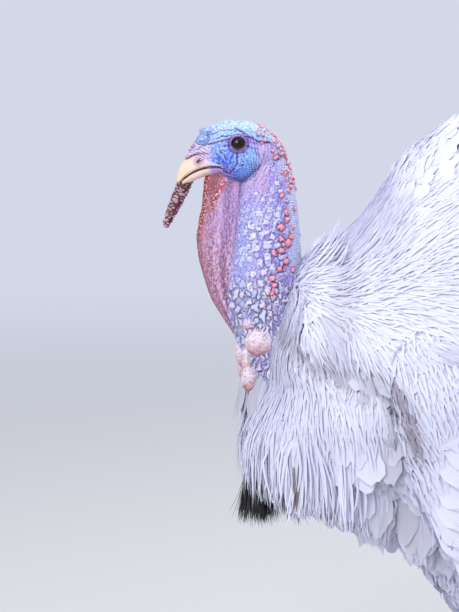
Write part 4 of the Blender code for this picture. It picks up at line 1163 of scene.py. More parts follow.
COLLAR_COUNT = 20
COLLAR_ROOT = (0.026, 0.0, 0.416)
COLLAR_RADII = (0.020, 0.036, 0)
COLLAR_LENGTHS = (0.040, 0.056)
COLLAR_WIDTH = 0.015
# Painted shade: the white collar feathers get a grey tone because they hang in shade below the neck.
COLLAR_SHADED_TONE = (0.80, 0.80, 0.86)


def collar(material):
    """The long leaf-like feathers that hang in front, below the neck's bulbs."""
    draw = np.random.default_rng(55)
    count = COLLAR_COUNT
    turn = np.linspace(-1.6, 1.6, count) + draw.normal(0, 0.05, count)
    away = np.column_stack([-np.cos(turn), np.sin(turn), np.zeros(count)])
    roots = np.array(COLLAR_ROOT) + away * COLLAR_RADII + draw.normal(0, 0.002, (count, 3))
    headings = unit(away * 0.26 + draw.normal(0, 0.05, (count, 3)) + (0.0, 0.0, -1.0))
    lengths = draw.uniform(*COLLAR_LENGTHS, count)
    centres, sides = straight(roots, headings, away, lengths, draw.normal(-0.08, 0.04, count), 9)
    vanes = vane_arrays(centres, sides, np.full(count, COLLAR_WIDTH), LEAF_VANE, draw, 7, 0.25, 0.05)
    coat_mesh("collar", vanes, tones_for(roots, draw, COLLAR_SHADED_TONE), material)


def straight(roots, headings, faces, lengths, bend, rows):
    """Centre lines of free feathers. bend lifts their tips towards their faces."""
    t = np.linspace(0, 1, rows)[None, :, None]
    centres = roots[:, None] + headings[:, None] * lengths[:, None, None] * t
    centres = centres + faces[:, None] * (bend * lengths)[:, None, None] * t**2
    return centres, np.repeat(faces[:, None], rows, axis=1)


def tail_frame():
    up = np.array((math.sin(TAIL_LEAN), 0.0, math.cos(TAIL_LEAN)))
    face = np.array((-math.cos(TAIL_LEAN), 0.0, math.sin(TAIL_LEAN)))
    return up, face


# Tiers of the tail: how far in front of the tail feathers, count, length, width, half spread in
# degrees, and the share of the width that the tips lose to splits.
TAIL_TIERS = (
    (0.0000, 18, 0.385, 0.078, 95, 0.03),
    (0.0100, 22, 0.262, 0.064, 93, 0.05),
    (0.0160, 22, 0.205, 0.060, 91, 0.07),
    (0.0210, 20, 0.160, 0.056, 90, 0.09),
    (0.0260, 18, 0.120, 0.052, 89, 0.12),
    (0.0300, 16, 0.085, 0.050, 88, 0.13),
    (-0.0200, 20, 0.235, 0.070, 88, 0.08),
    (-0.0250, 18, 0.185, 0.066, 84, 0.12),
    (-0.0300, 18, 0.140, 0.060, 80, 0.12),
    (-0.0350, 16, 0.100, 0.052, 78, 0.13),
    (-0.0400, 14, 0.070, 0.044, 80, 0.13),
)


def tail(material):
    """The fan: tail feathers and, on both sides, rows of coverts."""
    draw = np.random.default_rng(21)
    up, face = tail_frame()
    across = np.array((0.0, 1.0, 0.0))
    for n, (offset, count, length, width, spread_angle, ragged) in enumerate(TAIL_TIERS):
        share = np.linspace(-1, 1, count)
        turn = np.radians(spread_angle) * share + draw.normal(0, 0.012, count)
        rank = np.abs(np.arange(count) - (count - 1) / 2) + np.where(np.arange(count) > count / 2, 0.5, 0)
        roots = TAIL_ROOT + face * (offset - rank * 0.0020)[:, None]
        headings = unit(
            np.cos(turn)[:, None] * up + np.sin(turn)[:, None] * across
            + (0.03 * np.sin(turn) ** 2)[:, None] * face
        )
        lengths = length * (1 - 0.08 * share**2) * draw.uniform(0.985, 1.0, count)
        faces = np.repeat(face[None], count, axis=0)
        centres, sides = straight(roots, headings, faces, lengths, np.full(count, -0.03), 16)
        vanes = vane_arrays(centres, sides, np.full(count, width), TAIL_VANE, draw, 9, 0.10, ragged)
        nodes = ("tail",) if n == 0 else ()
        coat_mesh(f"tail_{n}", vanes, tones_for(roots, draw), material, nodes)


def arm_places():
    def beside(place, out):
        x, z = place
        return np.array((x, -side_at(TORSO, TORSO_SHAPE, x, z) - out, z))

    return beside(WING_ELBOW, 0.009), beside(WING_WRIST, 0.009), beside(WING_FINGER, 0.026)


def mixed(pair, share):
    a, b = np.array(pair[0]), np.array(pair[1])
    return unit(a * (1 - share[:, None]) + b * share[:, None])


# Rows of the wing: from the wrist to the elbow or the finger, count, lengths at the wrist and at
# the far end, width, how far out they lie and the headings at the wrist and at the far end.
ARM_HEADINGS = ((0.58, -0.12, -0.80), (0.70, 0.02, -0.71))
HAND_HEADINGS = ((0.60, -0.12, -0.78), (0.40, -0.12, -0.91))
WING_ROWS = (
    ("elbow", 16, (0.255, 0.220), 0.052, 0.000, ARM_HEADINGS),
    ("finger", 11, (0.262, 0.368), 0.042, -0.002, HAND_HEADINGS),
    ("elbow", 20, (0.130, 0.120), 0.044, 0.006, ARM_HEADINGS),
    ("finger", 13, (0.125, 0.120), 0.036, 0.004, HAND_HEADINGS),
    ("elbow", 22, (0.100, 0.094), 0.038, 0.007, ARM_HEADINGS),
)
FLOOR_CLEARANCE = 0.012


def wings(material):
    """Flight feathers and coverts, drawn for the left side and mirrored for the right."""
    elbow, wrist, finger = arm_places()
    ends = {"elbow": elbow, "finger": finger}
    outward = np.array((0.0, -1.0, 0.0))
    draw = np.random.default_rng(31)
    for n, (end, count, reach, width, out, headings) in enumerate(WING_ROWS):
        share = (np.arange(count) + 0.5) / count
        heading = mixed(headings, share)
        faces = unit(outward + heading * heading[:, 1:2])
        level = 0.007 - 0.013 * share + out
        roots = wrist + (ends[end] - wrist) * share[:, None] + faces * level[:, None]
        loose = min(n // 2, 1)
        ragged = 0.03 + 0.08 * loose
        roots = roots + draw.normal(0, 0.003 * loose, (count, 3)) * (1, 0.2, 1)
        heading = unit(heading + draw.normal(0, 0.012 + 0.03 * loose, (count, 3)) * (1, 0.3, 1))
        lengths = (reach[0] + (reach[1] - reach[0]) * share) * draw.uniform(1 - 0.08 * loose, 1, count)
        lengths = np.minimum(lengths, (roots[:, 2] - FLOOR_CLEARANCE) / -heading[:, 2])
        centres, sides = straight(roots, heading, faces, lengths, np.full(count, -0.03), 12)
        widths = np.full(count, width)
        for side, name in ((1, "left"), (-1, "right")):
            flip = np.array((1.0, side, 1.0))
            vanes = vane_arrays(
                centres * flip, sides * flip, widths, FLIGHT_VANE, draw, 7, 0.10, ragged
            )
            node = (f"wing_{name}",) if n == 0 else ()
            coat_mesh(f"wing_{name}_{n}", vanes, tones_for(roots * flip, draw, shaded=0), material, node)


# Skin

def shrunk(form, depth):
    """A form drawn in by a depth all over."""
    points, faces = form
    return points - form_normals(points, faces) * depth, faces


LIMB_INSET = 0.006
BODY_SKIN_GRAIN = 0.006
TAIL_BASE = ((0.016, 0, -0.012), (0.026, 0.048, 0.036))    # how far below the tail's root, and radii


def body_skin(form):
    """The plucked body under the feathers, with the roots of wings and tail and both thighs."""
    pieces = [shrunk(form, COAT_DEPTH * 1.25)]
    for side in (1, -1):
        pieces += [thigh_form(side, LIMB_INSET), shrunk(wing_form(side), LIMB_INSET)]
    pieces.append(ball(TAIL_ROOT - TAIL_BASE[0], TAIL_BASE[1]))
    return remeshed("body_skin", pieces, BODY_SKIN_GRAIN)


def head_forms():
    return {
        "neck": loft(rings_up_z(NECK, 120, 96)),
        "head": loft(rings_along_x(HEAD, 90, 72, *HEAD_SHAPE)),
        "dewlap": loft(rings_up_z(DEWLAP, 90, 64)),
        "snood": loft(tube_rings(SNOOD_PATH, SNOOD_RADII, 80, 28)),
        "caruncle": joined([ball(c, r, 20, 28) for c, r in MAJOR_CARUNCLES]),
        "lobe": joined([ball((x, s * y, z), r, 16, 20) for (x, y, z), r in LOBES for s in (-1, 1)]),
        "cere": loft(rings_along_x(CERE, 30, 32)),
    }


def warped(points, size, reach, seed=0.0):
    """The points, each strayed by smooth noise."""
    return points + reach * np.stack([lumps(points, size, seed + n * 7.3) for n in range(3)], axis=-1)


def on_neck(x, z, side):
    """The place on the neck's skin that is seen at x and z from that side."""
    rows = smooth_through(NECK, 80)[::-1]
    front, back, half = (float(np.interp(z, rows[:, 0], rows[:, n])) for n in (1, 2, 3))
    share = np.clip((x - (front + back) / 2) / ((back - front) / 2), -0.97, 0.97)
    return np.array((x, side * half * math.sqrt(1 - share**2), z))


def both_sides(places, draw):
    """Places and radii of small bulbs on the neck: as listed on the left, and strayed on the right."""
    found = []
    for x, z, radius in places:
        for side in (-1, 1):
            stray = draw.normal(0, 2.5, 2) * (side > 0)
            found.append((*on_neck((x + stray[0]) * MM, (z + stray[1]) * MM, side), radius * MM))
    return np.array(found)


def scattered(points, weight, count, gap, radii, draw):
    """Places picked from the points by weight, at least a gap apart, with radii in a range."""
    found = []
    for i in draw.permutation(np.nonzero(draw.random(len(points)) < weight)[0]):
        if len(found) == count:
            break
        if all(np.linalg.norm(points[i] - other[:3]) > gap for other in found):
            found.append((*points[i], draw.uniform(*radii)))
    return np.array(found)


def domes(points, bulbs, power=2.0):
    """How far the points are up the bulbs, from 0 at the rim to 1, and the radius there."""
    up, radius = np.zeros(len(points)), np.zeros(len(points))
    for place in bulbs:
        off = np.abs(points - place[:3])
        near = off.max(axis=1) < place[3] * 1.3
        far = (off[near] ** power).sum(axis=1) ** (1 / power) / place[3]
        rise = np.sqrt(np.clip(1 - far**2, 0, 1))
        better = rise > up[near]
        up[near] = np.where(better, rise, up[near])
        radius[near] = np.where(better, place[3], radius[near])
    return up, radius


def skin_zones(forms, points, edges):
    """How much each point belongs to each form."""
    gaps = {name: distances_to(tree_of(form), points) for name, form in forms.items()}
    least = np.min(list(gaps.values()), axis=0)
    zone = {name: np.exp(-((gap - least) / 0.0010) ** 2) for name, gap in gaps.items()}
    total = sum(zone.values())
    return {name: spread(value / total, edges, 4) for name, value in zone.items()}


# Column of small bulbs down the side of the neck, in millimetres.
BULB_COLUMN = ((40, 655), (47, 610), (52, 580), (45, 545), (52, 505))


def bulbs_and_plates(points, back, draw):
    """How far the points are up the bulbs and the plates of the neck, and their radii there."""
    strayed = warped(warped(points, 0.0030, 0.0012, 2.0), 0.0070, 0.0018, 4.0)
    bumps = scattered(points, back**2, REAR_BUMPS, 0.0042, (0.0015, 0.0027), draw)
    column = stroke(points, BULB_COLUMN, 9)
    small = scattered(points, 0.5 * column, 60, 0.0060, (0.0009, 0.0017), draw)
    bulbs = np.vstack([both_sides(BULBS, draw), bumps, small])
    plates = both_sides(PLATES, draw) * (1, 0.6, 1, 1)
    return domes(strayed, bulbs), domes(strayed * (1, 0.6, 1), plates, 3.6)


def shape_parts(points, normals, zone, colours, height):
    """Lets each part of SKIN_PARTS shape and paint the points that lie in its zones."""
    for shape, zones in SKIN_PARTS:
        here = sum(zone[name] for name in zones) > 0.004
        part = {name: values[here] for name, values in zone.items()}
        new_colours, new_height = colours[here], height[here]
        shape(points[here], normals[here], part, new_colours, new_height)
        colours[here] = new_colours
        height[here] = new_height


def make_head_skin():
    forms = head_forms()
    item = remeshed("skin", [*forms.values(), lid_ring(-1), lid_ring(1)], SKIN_GRAIN)
    points, edges = design_points(item), edges_of(item)
    points = spread(points, edges, 3)
    set_points(item, points)
    normals = normals_of(item)
    zone = skin_zones(forms, points, edges)
    zone["back"] = stroke(points, REAR_LINE, 13) * step(0.012, 0.022, points[:, 0])
    up_bulbs, up_plates = bulbs_and_plates(points, zone["back"], np.random.default_rng(9))
    zone["bulb"], size = up_bulbs
    zone["plate"], width = up_plates
    colours = one_colour(points, (0.66, 0.64, 0.92))
    height = 0.75 * zone["bulb"] * size + 0.26 * np.minimum(zone["plate"], 0.7) * width
    off_eye = np.hypot(points[:, 0] - EYE_CENTRE[0], points[:, 2] - EYE_CENTRE[2])
    zone["rim"] = step(0.0130, 0.0110, off_eye)
    shape_parts(points, normals, zone, colours, height)
    fine = lumps(points, 0.0018, 31.0) + 0.6 * lumps(points, 0.0036, 33.0)
    height += 0.00016 * fine * (1 - 0.7 * zone["bulb"])
    # Painted shade darkens the hollows of the relief and painted light whitens its raised places; fine adds a
    # mottle.
    relief_shading = np.clip((height - spread(height, edges, 8)) / 0.00045, -1, 1)
    colours *= (0.93 + 0.07 * fine + 0.55 * np.minimum(relief_shading, 0))[:, None]
    paint(colours, np.maximum(relief_shading, 0) * 0.30, (0.94, 0.94, 0.98))
    set_points(item, points + normals * height[:, None])
    set_colours(item, np.clip(colours, 0, 1))
    return item


def neck_layout(points, zone):
    """Where the stretches of the neck lie."""
    x, y, z = points.T
    share = front_to_back(NECK, points)
    patches = lumps(points, 0.016, 40.0)
    return SimpleNamespace(
        points=points, x=x, y=y, z=z, zone=zone, mask=zone["neck"], share=share, patches=patches,
        nape=step(0.76, 0.92, share + 0.06 * patches) * step(0.500, 0.540, z),
        low=step(0.545, 0.500, z), bent=warped(points, 0.007, 0.0020, 8.0),
    )


def neck_tones(at):
    base = one_colour(at.points, (0.68, 0.61, 0.91))
    paint(base, step(0.45, 0.10, at.share) * 0.7, (0.66, 0.71, 0.94))
    paint(base, step(0.0, 0.5, at.patches) * 0.6, (0.80, 0.84, 0.96))
    paint(base, step(-0.1, -0.5, at.patches) * 0.5, (0.58, 0.56, 0.92))
    return base


def neck_streaks(at, base, height):
    """Fine slanting folds of the upper neck."""
    run = at.x - at.z * 0.42
    flow = lumps(np.column_stack([run, at.y * 0.7, at.z * 0.20]), 0.0021, 3.0)
    wide = lumps(np.column_stack([run, at.y * 0.6, at.z * 0.22]), 0.0048, 23.0)
    high = step(0.56, 0.60, at.z) * (1 - at.nape)
    height += at.mask * high * (0.00030 * flow + 0.00045 * wide)
    paint(base, high * step(0.05, 0.4, flow) * 0.55, (0.80, 0.86, 0.98))
    paint(base, high * step(-0.05, -0.4, flow) * 0.35, (0.50, 0.42, 0.80))
    paint(base, high * step(0.1, 0.5, wide) * 0.5, (0.78, 0.84, 0.97))


def neck_plates(at, base, height):
    """Flat plates and fine pebbles of the middle."""
    _, lead, pick = cells(at.bent * (1.0, 1.0, 0.85), 0.0072)
    plate = step(0.10, 0.36, lead) * step(0.30, 0.45, pick) * step(0.62, 0.58, at.z) * (1 - at.low)
    height += at.mask * 0.0008 * plate * (1 - at.nape)
    paint(base, plate * (1 - at.nape) * 0.6, (0.82, 0.86, 0.97))
    _, small_lead, small_pick = cells(at.bent, 0.0030, 5.0)
    pebble = step(0.05, 0.35, small_lead)
    height += at.mask * 0.0003 * (pebble - 0.5) * (1 - 0.5 * at.nape)
    paint(base, (1 - pebble) * 0.20, (0.40, 0.38, 0.78))
    paint(base, pebble * step(0.70, 0.85, small_pick) * 0.6, (0.90, 0.91, 0.98))


def neck_cobbles(at, base, height):
    """Large cobbles of the lower neck."""
    folded = warped(at.bent, 0.005, 0.0022, 18.0)
    _, lead, pick = cells(folded * (1.3, 1.0, 0.75), 0.0084, 2.0)
    cobble = step(0.0, 0.50, lead)
    rolling = 0.0016 * lumps(at.points, 0.014, 91.0)
    height += at.mask * at.low * (0.0019 * (cobble - 0.4) + rolling)
    cream = np.where(pick[:, None] > 0.45, (0.88, 0.82, 0.86), (0.76, 0.83, 0.95))
    paint(base, at.low * (0.3 + 0.7 * cobble) * 0.75, cream)
    paint(base, at.low * (1 - cobble) * 0.35, (0.42, 0.40, 0.56))


def neck_nape(at, base, height):
    wrinkles = np.sin(at.z / 0.0026 * 2 * np.pi + 5 * lumps(at.points, 0.010) + at.share * 5)
    soft = 0.0005 * lumps(at.points * (1, 1, 0.6), 0.0050, 9.0)
    height += at.mask * at.nape * (0.00012 * wrinkles + soft)
    paint(base, at.nape * 0.9, (0.83, 0.87, 0.97))
    paint(base, at.nape * step(0.2, -0.8, wrinkles) * 0.30, (0.64, 0.64, 0.88))


def neck_front(at, base, height):
    """The brownish streaks behind the dewlap, and painted shade in the cleft beside it."""
    behind = step(0.596, 0.640, at.z) * step(0.60, 0.40, at.share)
    paint(base, behind * 0.75, (0.78, 0.66, 0.85))
    streaks = lumps(np.column_stack([at.x - at.z * 0.42, at.y, at.z * 0.2]), 0.0027, 14.0)
    paint(base, behind * step(0.12, 0.42, streaks) * 0.65, (0.56, 0.32, 0.46))
    # painted shade in the cleft where the neck meets the dewlap
    cleft = step(0.55, 0.30, at.zone["neck"]) * step(0.02, 0.20, at.zone["dewlap"])
    paint(base, cleft * 0.7, (0.34, 0.18, 0.40))


def shape_neck(points, normals, zone, colours, height):
    at = neck_layout(points, zone)
    base = neck_tones(at)
    for marks in (neck_streaks, neck_plates, neck_cobbles, neck_nape, neck_front):
        marks(at, base, height)
    paint(colours, at.mask, base)


def shape_bulbs(points, normals, zone, colours, height):
    """Colours of the plates and bulbs, over everything that lies under them, with painted shade on their
    lower sides and a painted highlight on the bulbs' crowns.
    """
    shaded = step(0.1, -0.8, normals[:, 2])
    flat = zone["plate"] * zone["neck"]
    paint(colours, step(0.05, 0.6, flat) * 0.72, (0.87, 0.88, 0.95))
    # painted shade on the plates' lower sides
    paint(colours, step(0.05, 0.35, flat) * shaded * 0.3, (0.66, 0.66, 0.86))
    paint(colours, step(0.3, 0.0, flat) * step(0.0, 0.05, flat) * 0.5, (0.50, 0.46, 0.80))
    tips = zone["bulb"]
    rim = step(0.0, 0.25, tips)
    ruddy = np.clip(0.5 + lumps(points, 0.012, 27.0), 0, 1)
    paint(colours, rim * (0.60 + 0.38 * ruddy), (0.93, 0.36, 0.44))
    # painted highlight on the bulbs' crowns
    paint(colours, step(0.80, 0.98, tips) * 0.45, (0.99, 0.70, 0.74))
    # painted shade on the bulbs' lower sides
    paint(colours, rim * shaded * 0.5, (0.84, 0.18, 0.24))


def head_layout(points, normals, zone):
    """Where the stretches of the head lie."""
    x, y, z = points.T
    bent = warped(points, 0.012, 0.0022, 50.0)
    over = z - np.interp(x, *np.array(CROWN_EDGE).T * MM)
    crown = step(-0.0006, 0.0008, over)
    (cx, cz), (rx, rz) = CHEEK
    cheek_far = np.hypot((bent[:, 0] / MM - cx) / rx, (bent[:, 2] / MM - cz) / rz)
    low_edge = step(0.658, 0.644, z)
    cheek = step(1.12 - 0.10 * low_edge, 0.86 + 0.06 * low_edge, cheek_far) * (1 - crown)
    side = step(0.1, 0.55, np.abs(normals[:, 1]))
    off = np.column_stack([x - EYE_CENTRE[0], z - EYE_CENTRE[2]])
    return SimpleNamespace(
        points=points, x=x, y=y, z=z, zone=zone, mask=np.maximum(zone["head"], zone["lobe"]), bent=bent,
        side=side, bare=side * (1 - crown), over=over, crown=crown, rear=step(0.028, 0.040, bent[:, 0]),
        cheek=cheek, cheek_far=cheek_far, low_edge=low_edge,
        ring=np.hypot(off[:, 0] / 1.04, off[:, 1]), turn=np.arctan2(off[:, 1], off[:, 0]),
    )


def raise_head(at, height):
    """The crown's thick edge and the full cheek."""
    height += at.mask * at.side * (1 - at.rear) * 0.0018 * at.crown * step(0.016, 0.004, at.over)
    height += np.maximum(at.mask, at.zone["neck"]) * at.side * at.cheek * 0.0015


# The darkest stretch of the cheek, in millimetres.
DEEP_BLUE = ((-14, 668), (-20, 658), (-14, 648), (-6, 644))


def head_tones(at):
    bx = at.bent[:, 0]
    below = 1 - at.crown
    base = one_colour(at.points, (0.66, 0.60, 0.88))
    paint(base, at.cheek, (0.42, 0.58, 0.95))
    paint(base, at.cheek * step(0.000, 0.014, bx) * 0.6, (0.52, 0.74, 0.98))
    # painted shade along the cheek's lower edge, where it bulges over the throat
    paint(base, at.cheek * step(0.50, 0.90, at.cheek_far) * at.low_edge * 0.9, (0.24, 0.29, 0.58))
    paint(base, step(-0.012, -0.022, bx) * below, (0.48, 0.62, 0.95))
    paint(base, stroke(at.bent, DEEP_BLUE, 4.5) * below * 0.65, (0.16, 0.30, 0.90))
    paint(base, step(-0.029, -0.037, bx) * below, (0.82, 0.76, 0.93))
    paint(base, at.crown * (1 - at.rear), (0.56, 0.70, 0.94))
    paint(base, at.crown * step(0.002, 0.013, at.over) * (1 - at.rear), (0.68, 0.78, 0.93))
    paint(base, at.rear, (0.70, 0.76, 0.94))
    paint(base, step(0.1, 0.6, at.zone["lobe"]) * 0.5, (0.48, 0.57, 0.84))
    return base


def crown_crepe(at, base, height):
    creped = lumps(at.points * (1.0, 1.0, 1.8), 0.0034, 17.0)
    creped = creped + 0.7 * lumps(at.points * (0.6, 1.0, 1.8), 0.008, 18.0)
    height += at.mask * at.crown * 0.00060 * creped
    paint(base, at.crown * step(-0.1, -0.7, creped) * 0.5, (0.36, 0.58, 0.93))
    paint(base, at.crown * step(0.1, 0.7, creped) * 0.40, (0.84, 0.90, 0.97))


def eye_rays(at, base, height):
    """Wrinkles round the eye, and upright ones behind it."""
    rays = lumps(np.column_stack([at.turn * 5.2, at.ring * 75, np.sign(at.y) * 3]), 1.0, 61.0)
    around = at.bare * step(0.034, 0.016, at.ring)
    height += at.mask * around * 0.00055 * rays
    paint(base, around * step(0.0, 0.45, rays) * 0.40, (0.66, 0.80, 0.99))
    paint(base, around * step(0.0, -0.45, rays) * 0.55, (0.10, 0.20, 0.74))
    run = (at.x * 0.95 + at.z * 0.12) / 0.0026
    upright = np.sin(run * 2 * np.pi + 6.0 * lumps(at.points, 0.010, 2.0))
    behind = at.bare * step(0.006, 0.012, at.x) * step(0.024, 0.018, at.x)
    height += at.mask * behind * 0.00028 * upright
    paint(base, behind * step(0.1, 0.9, -upright) * 0.35, (0.16, 0.30, 0.80))


def ear_pleats(at, base, height):
    pleats = lumps(np.column_stack([at.x * 0.9 - at.z * 0.15, at.y, at.z * 0.25]), 0.0024, 77.0)
    ear = at.bare * step(0.016, 0.022, at.bent[:, 0])
    paint(base, ear * 0.8, (0.74, 0.66, 0.88))
    height += at.mask * ear * 0.0004 * pleats
    paint(base, ear * step(0.05, 0.5, pleats) * 0.5, (0.84, 0.74, 0.90))
    paint(base, ear * step(-0.05, -0.5, pleats) * 0.6, (0.58, 0.40, 0.62))


def face_folds(at, base, height):
    """Fine folds ahead of the eye."""
    run = np.column_stack([at.x * 0.7 + at.z * 0.3, at.y, at.z * 0.5 - at.x * 0.3])
    creased = lumps(run, 0.0019, 5.0)
    front = at.bare * step(-0.010, -0.018, at.x)
    height += at.mask * front * 0.00035 * creased
    paint(base, front * step(0.0, -0.5, creased) * 0.45, (0.20, 0.32, 0.84))
    paint(base, front * step(0.1, 0.5, creased) * 0.40, (0.70, 0.82, 0.99))


# Stretches with the most stipples, in millimetres: the line, its half width and how many it has.
STIPPLED = (
    (((3, 664), (5, 657), (-2, 651), (-8, 652)), 7, 1.0),
    (((-36, 672), (-26, 671), (-18, 666)), 4, 1.0),
    (((-30, 664), (-22, 660)), 4, 0.6),
)


def stipples(at, base, height):
    centre, _, _ = cells(warped(at.points, 0.003, 0.0006, 4.0), 0.0023, 1.0)
    dots = step(0.52, 0.20, centre) * (1 - at.crown)
    patch = np.zeros(len(at.x))
    for line, width, share in STIPPLED:
        patch += share * stroke(at.points, line, width)
    height += at.mask * 0.00055 * dots * (0.3 + patch)
    paint(base, dots * np.clip(0.26 + patch * 0.75, 0, 0.9), (0.72, 0.83, 0.98))


def cheek_lines(at, base, height):
    """Lines along the lower cheek."""
    run = (at.z * 0.95 + at.x * 0.25) / 0.0022
    lines = np.sin(run * 2 * np.pi + 5 * lumps(at.points, 0.009, 29.0))
    lower = at.cheek * at.low_edge * at.side
    height += at.mask * lower * 0.00020 * lines
    paint(base, lower * step(0.0, 0.9, -lines) * 0.45, (0.14, 0.20, 0.55))


def creases(at, base, height):
    crooked = warped(at.points, 0.005, 0.0013, 12.0)
    for line, width, depth in CREASES:
        near = stroke(crooked, line, width) * at.side
        height -= np.maximum(at.mask, at.zone["neck"] * 0.8) * near * depth * MM
        paint(base, near * 0.42, (0.05, 0.08, 0.50))


def head_edges(at, base, height):
    """Shades under the crown's edge, under the cheek and in the corner of the mouth."""
    fold = at.side * np.exp(-((at.over / MM + 0.6) / 0.8) ** 2) * (1 - at.rear)
    paint(base, fold * step(0.002, 0.010, at.x) * 0.85, (0.06, 0.08, 0.42))
    paint(base, fold * step(-0.010, -0.020, at.x) * 0.8, (0.70, 0.42, 0.66))
    under = at.side * step(0.94, 1.02, at.cheek_far) * step(1.18, 1.06, at.cheek_far) * at.low_edge
    paint(base, under * 0.65, (0.38, 0.20, 0.40))
    corner = stroke(at.points, ((-18, 648), (-12, 643), (-9, 639)), 3.0) * at.side
    paint(base, corner * 0.7, (0.62, 0.38, 0.70))


def lids_and_mouth(at, base, height):
    lids = step(0.0106, 0.0094, at.ring) * at.side
    paint(base, lids, (0.54, 0.40, 0.68))
    paint(base, lids * step(0.0, 0.9, np.sin(at.turn * 30)) * 0.35, (0.32, 0.20, 0.54))
    outline = at.side * np.exp(-((at.ring - 0.0107) / 0.0008) ** 2) * (1 - at.crown)
    paint(base, outline * 0.8, (0.12, 0.12, 0.52))
    rear_corner = stroke(at.points, ((8.5, 676.5), (12, 679.5)), 2.8) * at.side
    paint(base, rear_corner * 0.8, (0.58, 0.34, 0.78))
    paint(base, step(0.0082, 0.0072, at.ring) * at.side, (0.20, 0.10, 0.20))
    # painted shade along the line of the mouth, next to the bill
    gape = stroke(at.points, MOUTH_LINE, 1.5) * at.side * step(-0.014, -0.020, at.x)
    paint(base, gape * 0.9, (0.34, 0.16, 0.17))


HEAD_MARKS = (
    crown_crepe, eye_rays, ear_pleats, face_folds, stipples, cheek_lines, creases, head_edges, lids_and_mouth,
)


def shape_head(points, normals, zone, colours, height):
    at = head_layout(points, normals, zone)
    raise_head(at, height)
    base = head_tones(at)
    for marks in HEAD_MARKS:
        marks(at, base, height)
    paint(colours, np.maximum(at.mask, at.side * step(0.0130, 0.0110, at.ring)), base)
    below = np.maximum(zone["neck"], zone["dewlap"] * step(0.636, 0.642, at.z))
    paint(colours, at.cheek * below * at.side, base)


# The line below the skin over the bill's root, in millimetres.
CERE_EDGE = ((-60, 655.4), (-54.1, 660.4), (-47.2, 662.9), (-39.3, 663.9), (-35, 663))


def shape_cere(points, normals, zone, colours, height):
    x, _, z = points.T
    mask = np.clip(zone["cere"] + zone["head"] * step(-0.029, -0.037, x) * step(0.676, 0.672, z), 0, 1)
    folds = np.sin((x * 0.35 + z * 0.94) / 0.0030 * 2 * np.pi + 6.0 * lumps(points, 0.008, 21.0))
    height += mask * 0.00022 * folds
    base = one_colour(points, (0.84, 0.79, 0.94))
    paint(base, step(-0.050, -0.062, x) * 0.6, (0.74, 0.56, 0.70))
    paint(base, step(0.0, 0.9, -folds) * 0.25, (0.62, 0.46, 0.70))
    paint(base, stroke(points, CERE_EDGE, 0.8) * 0.9, (0.52, 0.20, 0.24))
    paint(colours, mask, base)


# The red strip at the dewlap's upper front, in millimetres.
RED_STRIP = ((-19.4, 640), (-17.8, 632.2), (-20.4, 625.6), (-24.4, 620), (-29.3, 612), (-33, 602))


def dewlap_threads(points, bent, mask, share, height):
    """Folds and fine threads along the dewlap, in the colours that they give it."""
    folds = np.sin(share * 4.4 * np.pi + 1.0 + 2.0 * lumps(points, 0.034, 3.0))
    height += mask * 0.0014 * folds * np.sin(np.pi * share)
    threads = lumps(bent * (1.0, 0.7, 0.22), 0.0013, 7.0)
    threads = threads + 0.6 * lumps(bent * (1.0, 0.7, 0.3), 0.0030, 37.0)
    height += mask * 0.00028 * threads
    base = one_colour(points, (0.71, 0.56, 0.75))
    paint(base, step(0.0, 0.6, threads) * 0.55, (0.90, 0.80, 0.93))
    paint(base, step(0.0, -0.6, threads) * 0.55, (0.62, 0.34, 0.54))
    return base


def shape_dewlap(points, normals, zone, colours, height):
    x, _, z = points.T
    mask = zone["dewlap"]
    share = front_to_back(DEWLAP, points)
    bent = warped(points, 0.008, 0.0020, 70.0)
    base = dewlap_threads(points, bent, mask, share, height)
    low = step(0.590, 0.550, z + 0.3 * (share - 0.5) * 0.06)
    speckle = np.abs(lumps(bent * (1.0, 1.0, 0.6), 0.0024, 15.0))
    lines = step(0.14, 0.03, speckle)
    paint(base, lines * (0.15 + 0.60 * low), (0.66, 0.28, 0.30))
    paint(base, low * step(0.16, 0.4, speckle) * 0.5, (0.86, 0.78, 0.84))
    paint(base, step(0.25, 0.02, share) * step(0.60, 0.56, z) * 0.35, (0.60, 0.34, 0.38))
    edge = step(0.18, 0.04, share)
    red = np.clip(stroke(points, RED_STRIP, 3.0) + edge * step(0.56, 0.59, z), 0, 1)
    throat = step(0.606, 0.626, z) * step(-0.019, -0.026, x)
    paint(base, throat * 0.85, (0.60, 0.24, 0.30))
    paint(base, red * 0.85, (0.74, 0.18, 0.16))
    centre, _, _ = cells(bent, 0.0026, 4.0)
    beads = step(0.50, 0.22, centre)
    height += mask * beads * (0.00025 + 0.0007 * red)
    paint(base, beads * np.clip(0.18 + 0.72 * red, 0, 1), (0.93, 0.80, 0.84))
    paint(base, step(0.25, 0.75, share) * step(0.53, 0.60, z) * 0.45, (0.74, 0.62, 0.88))
    paint(base, step(0.35, 0.0, share) * 0.32, (0.48, 0.24, 0.28))
    # painted shade in the cleft at the dewlap's upper back, which is also sunk
    cleft = step(0.80, 0.95, share) * step(0.642, 0.632, z)
    height -= mask * 0.0010 * cleft
    paint(base, cleft * 0.8, (0.36, 0.12, 0.26))
    paint(colours, mask, base)


def shape_snood(points, normals, zone, colours, height):
    """Rings across the snood."""
    mask = zone["snood"]
    x, y, z = warped(points, 0.006, 0.0020, 44.0).T
    along = x * 0.42 + z * 0.91
    across = x * 0.91 - z * 0.42
    _, lead, _ = cells(np.column_stack([along / 0.0036, across / 0.0090, y / 0.0090]), 1.0, 9.0)
    ridge = step(0.04, 0.36, lead)
    height += mask * 0.0016 * (ridge - 0.5)
    base = one_colour(points, (0.46, 0.15, 0.19))
    paint(base, ridge * 0.9, (0.69, 0.53, 0.60))
    paint(base, step(0.650, 0.664, z), (0.76, 0.60, 0.78))
    paint(colours, mask, base)


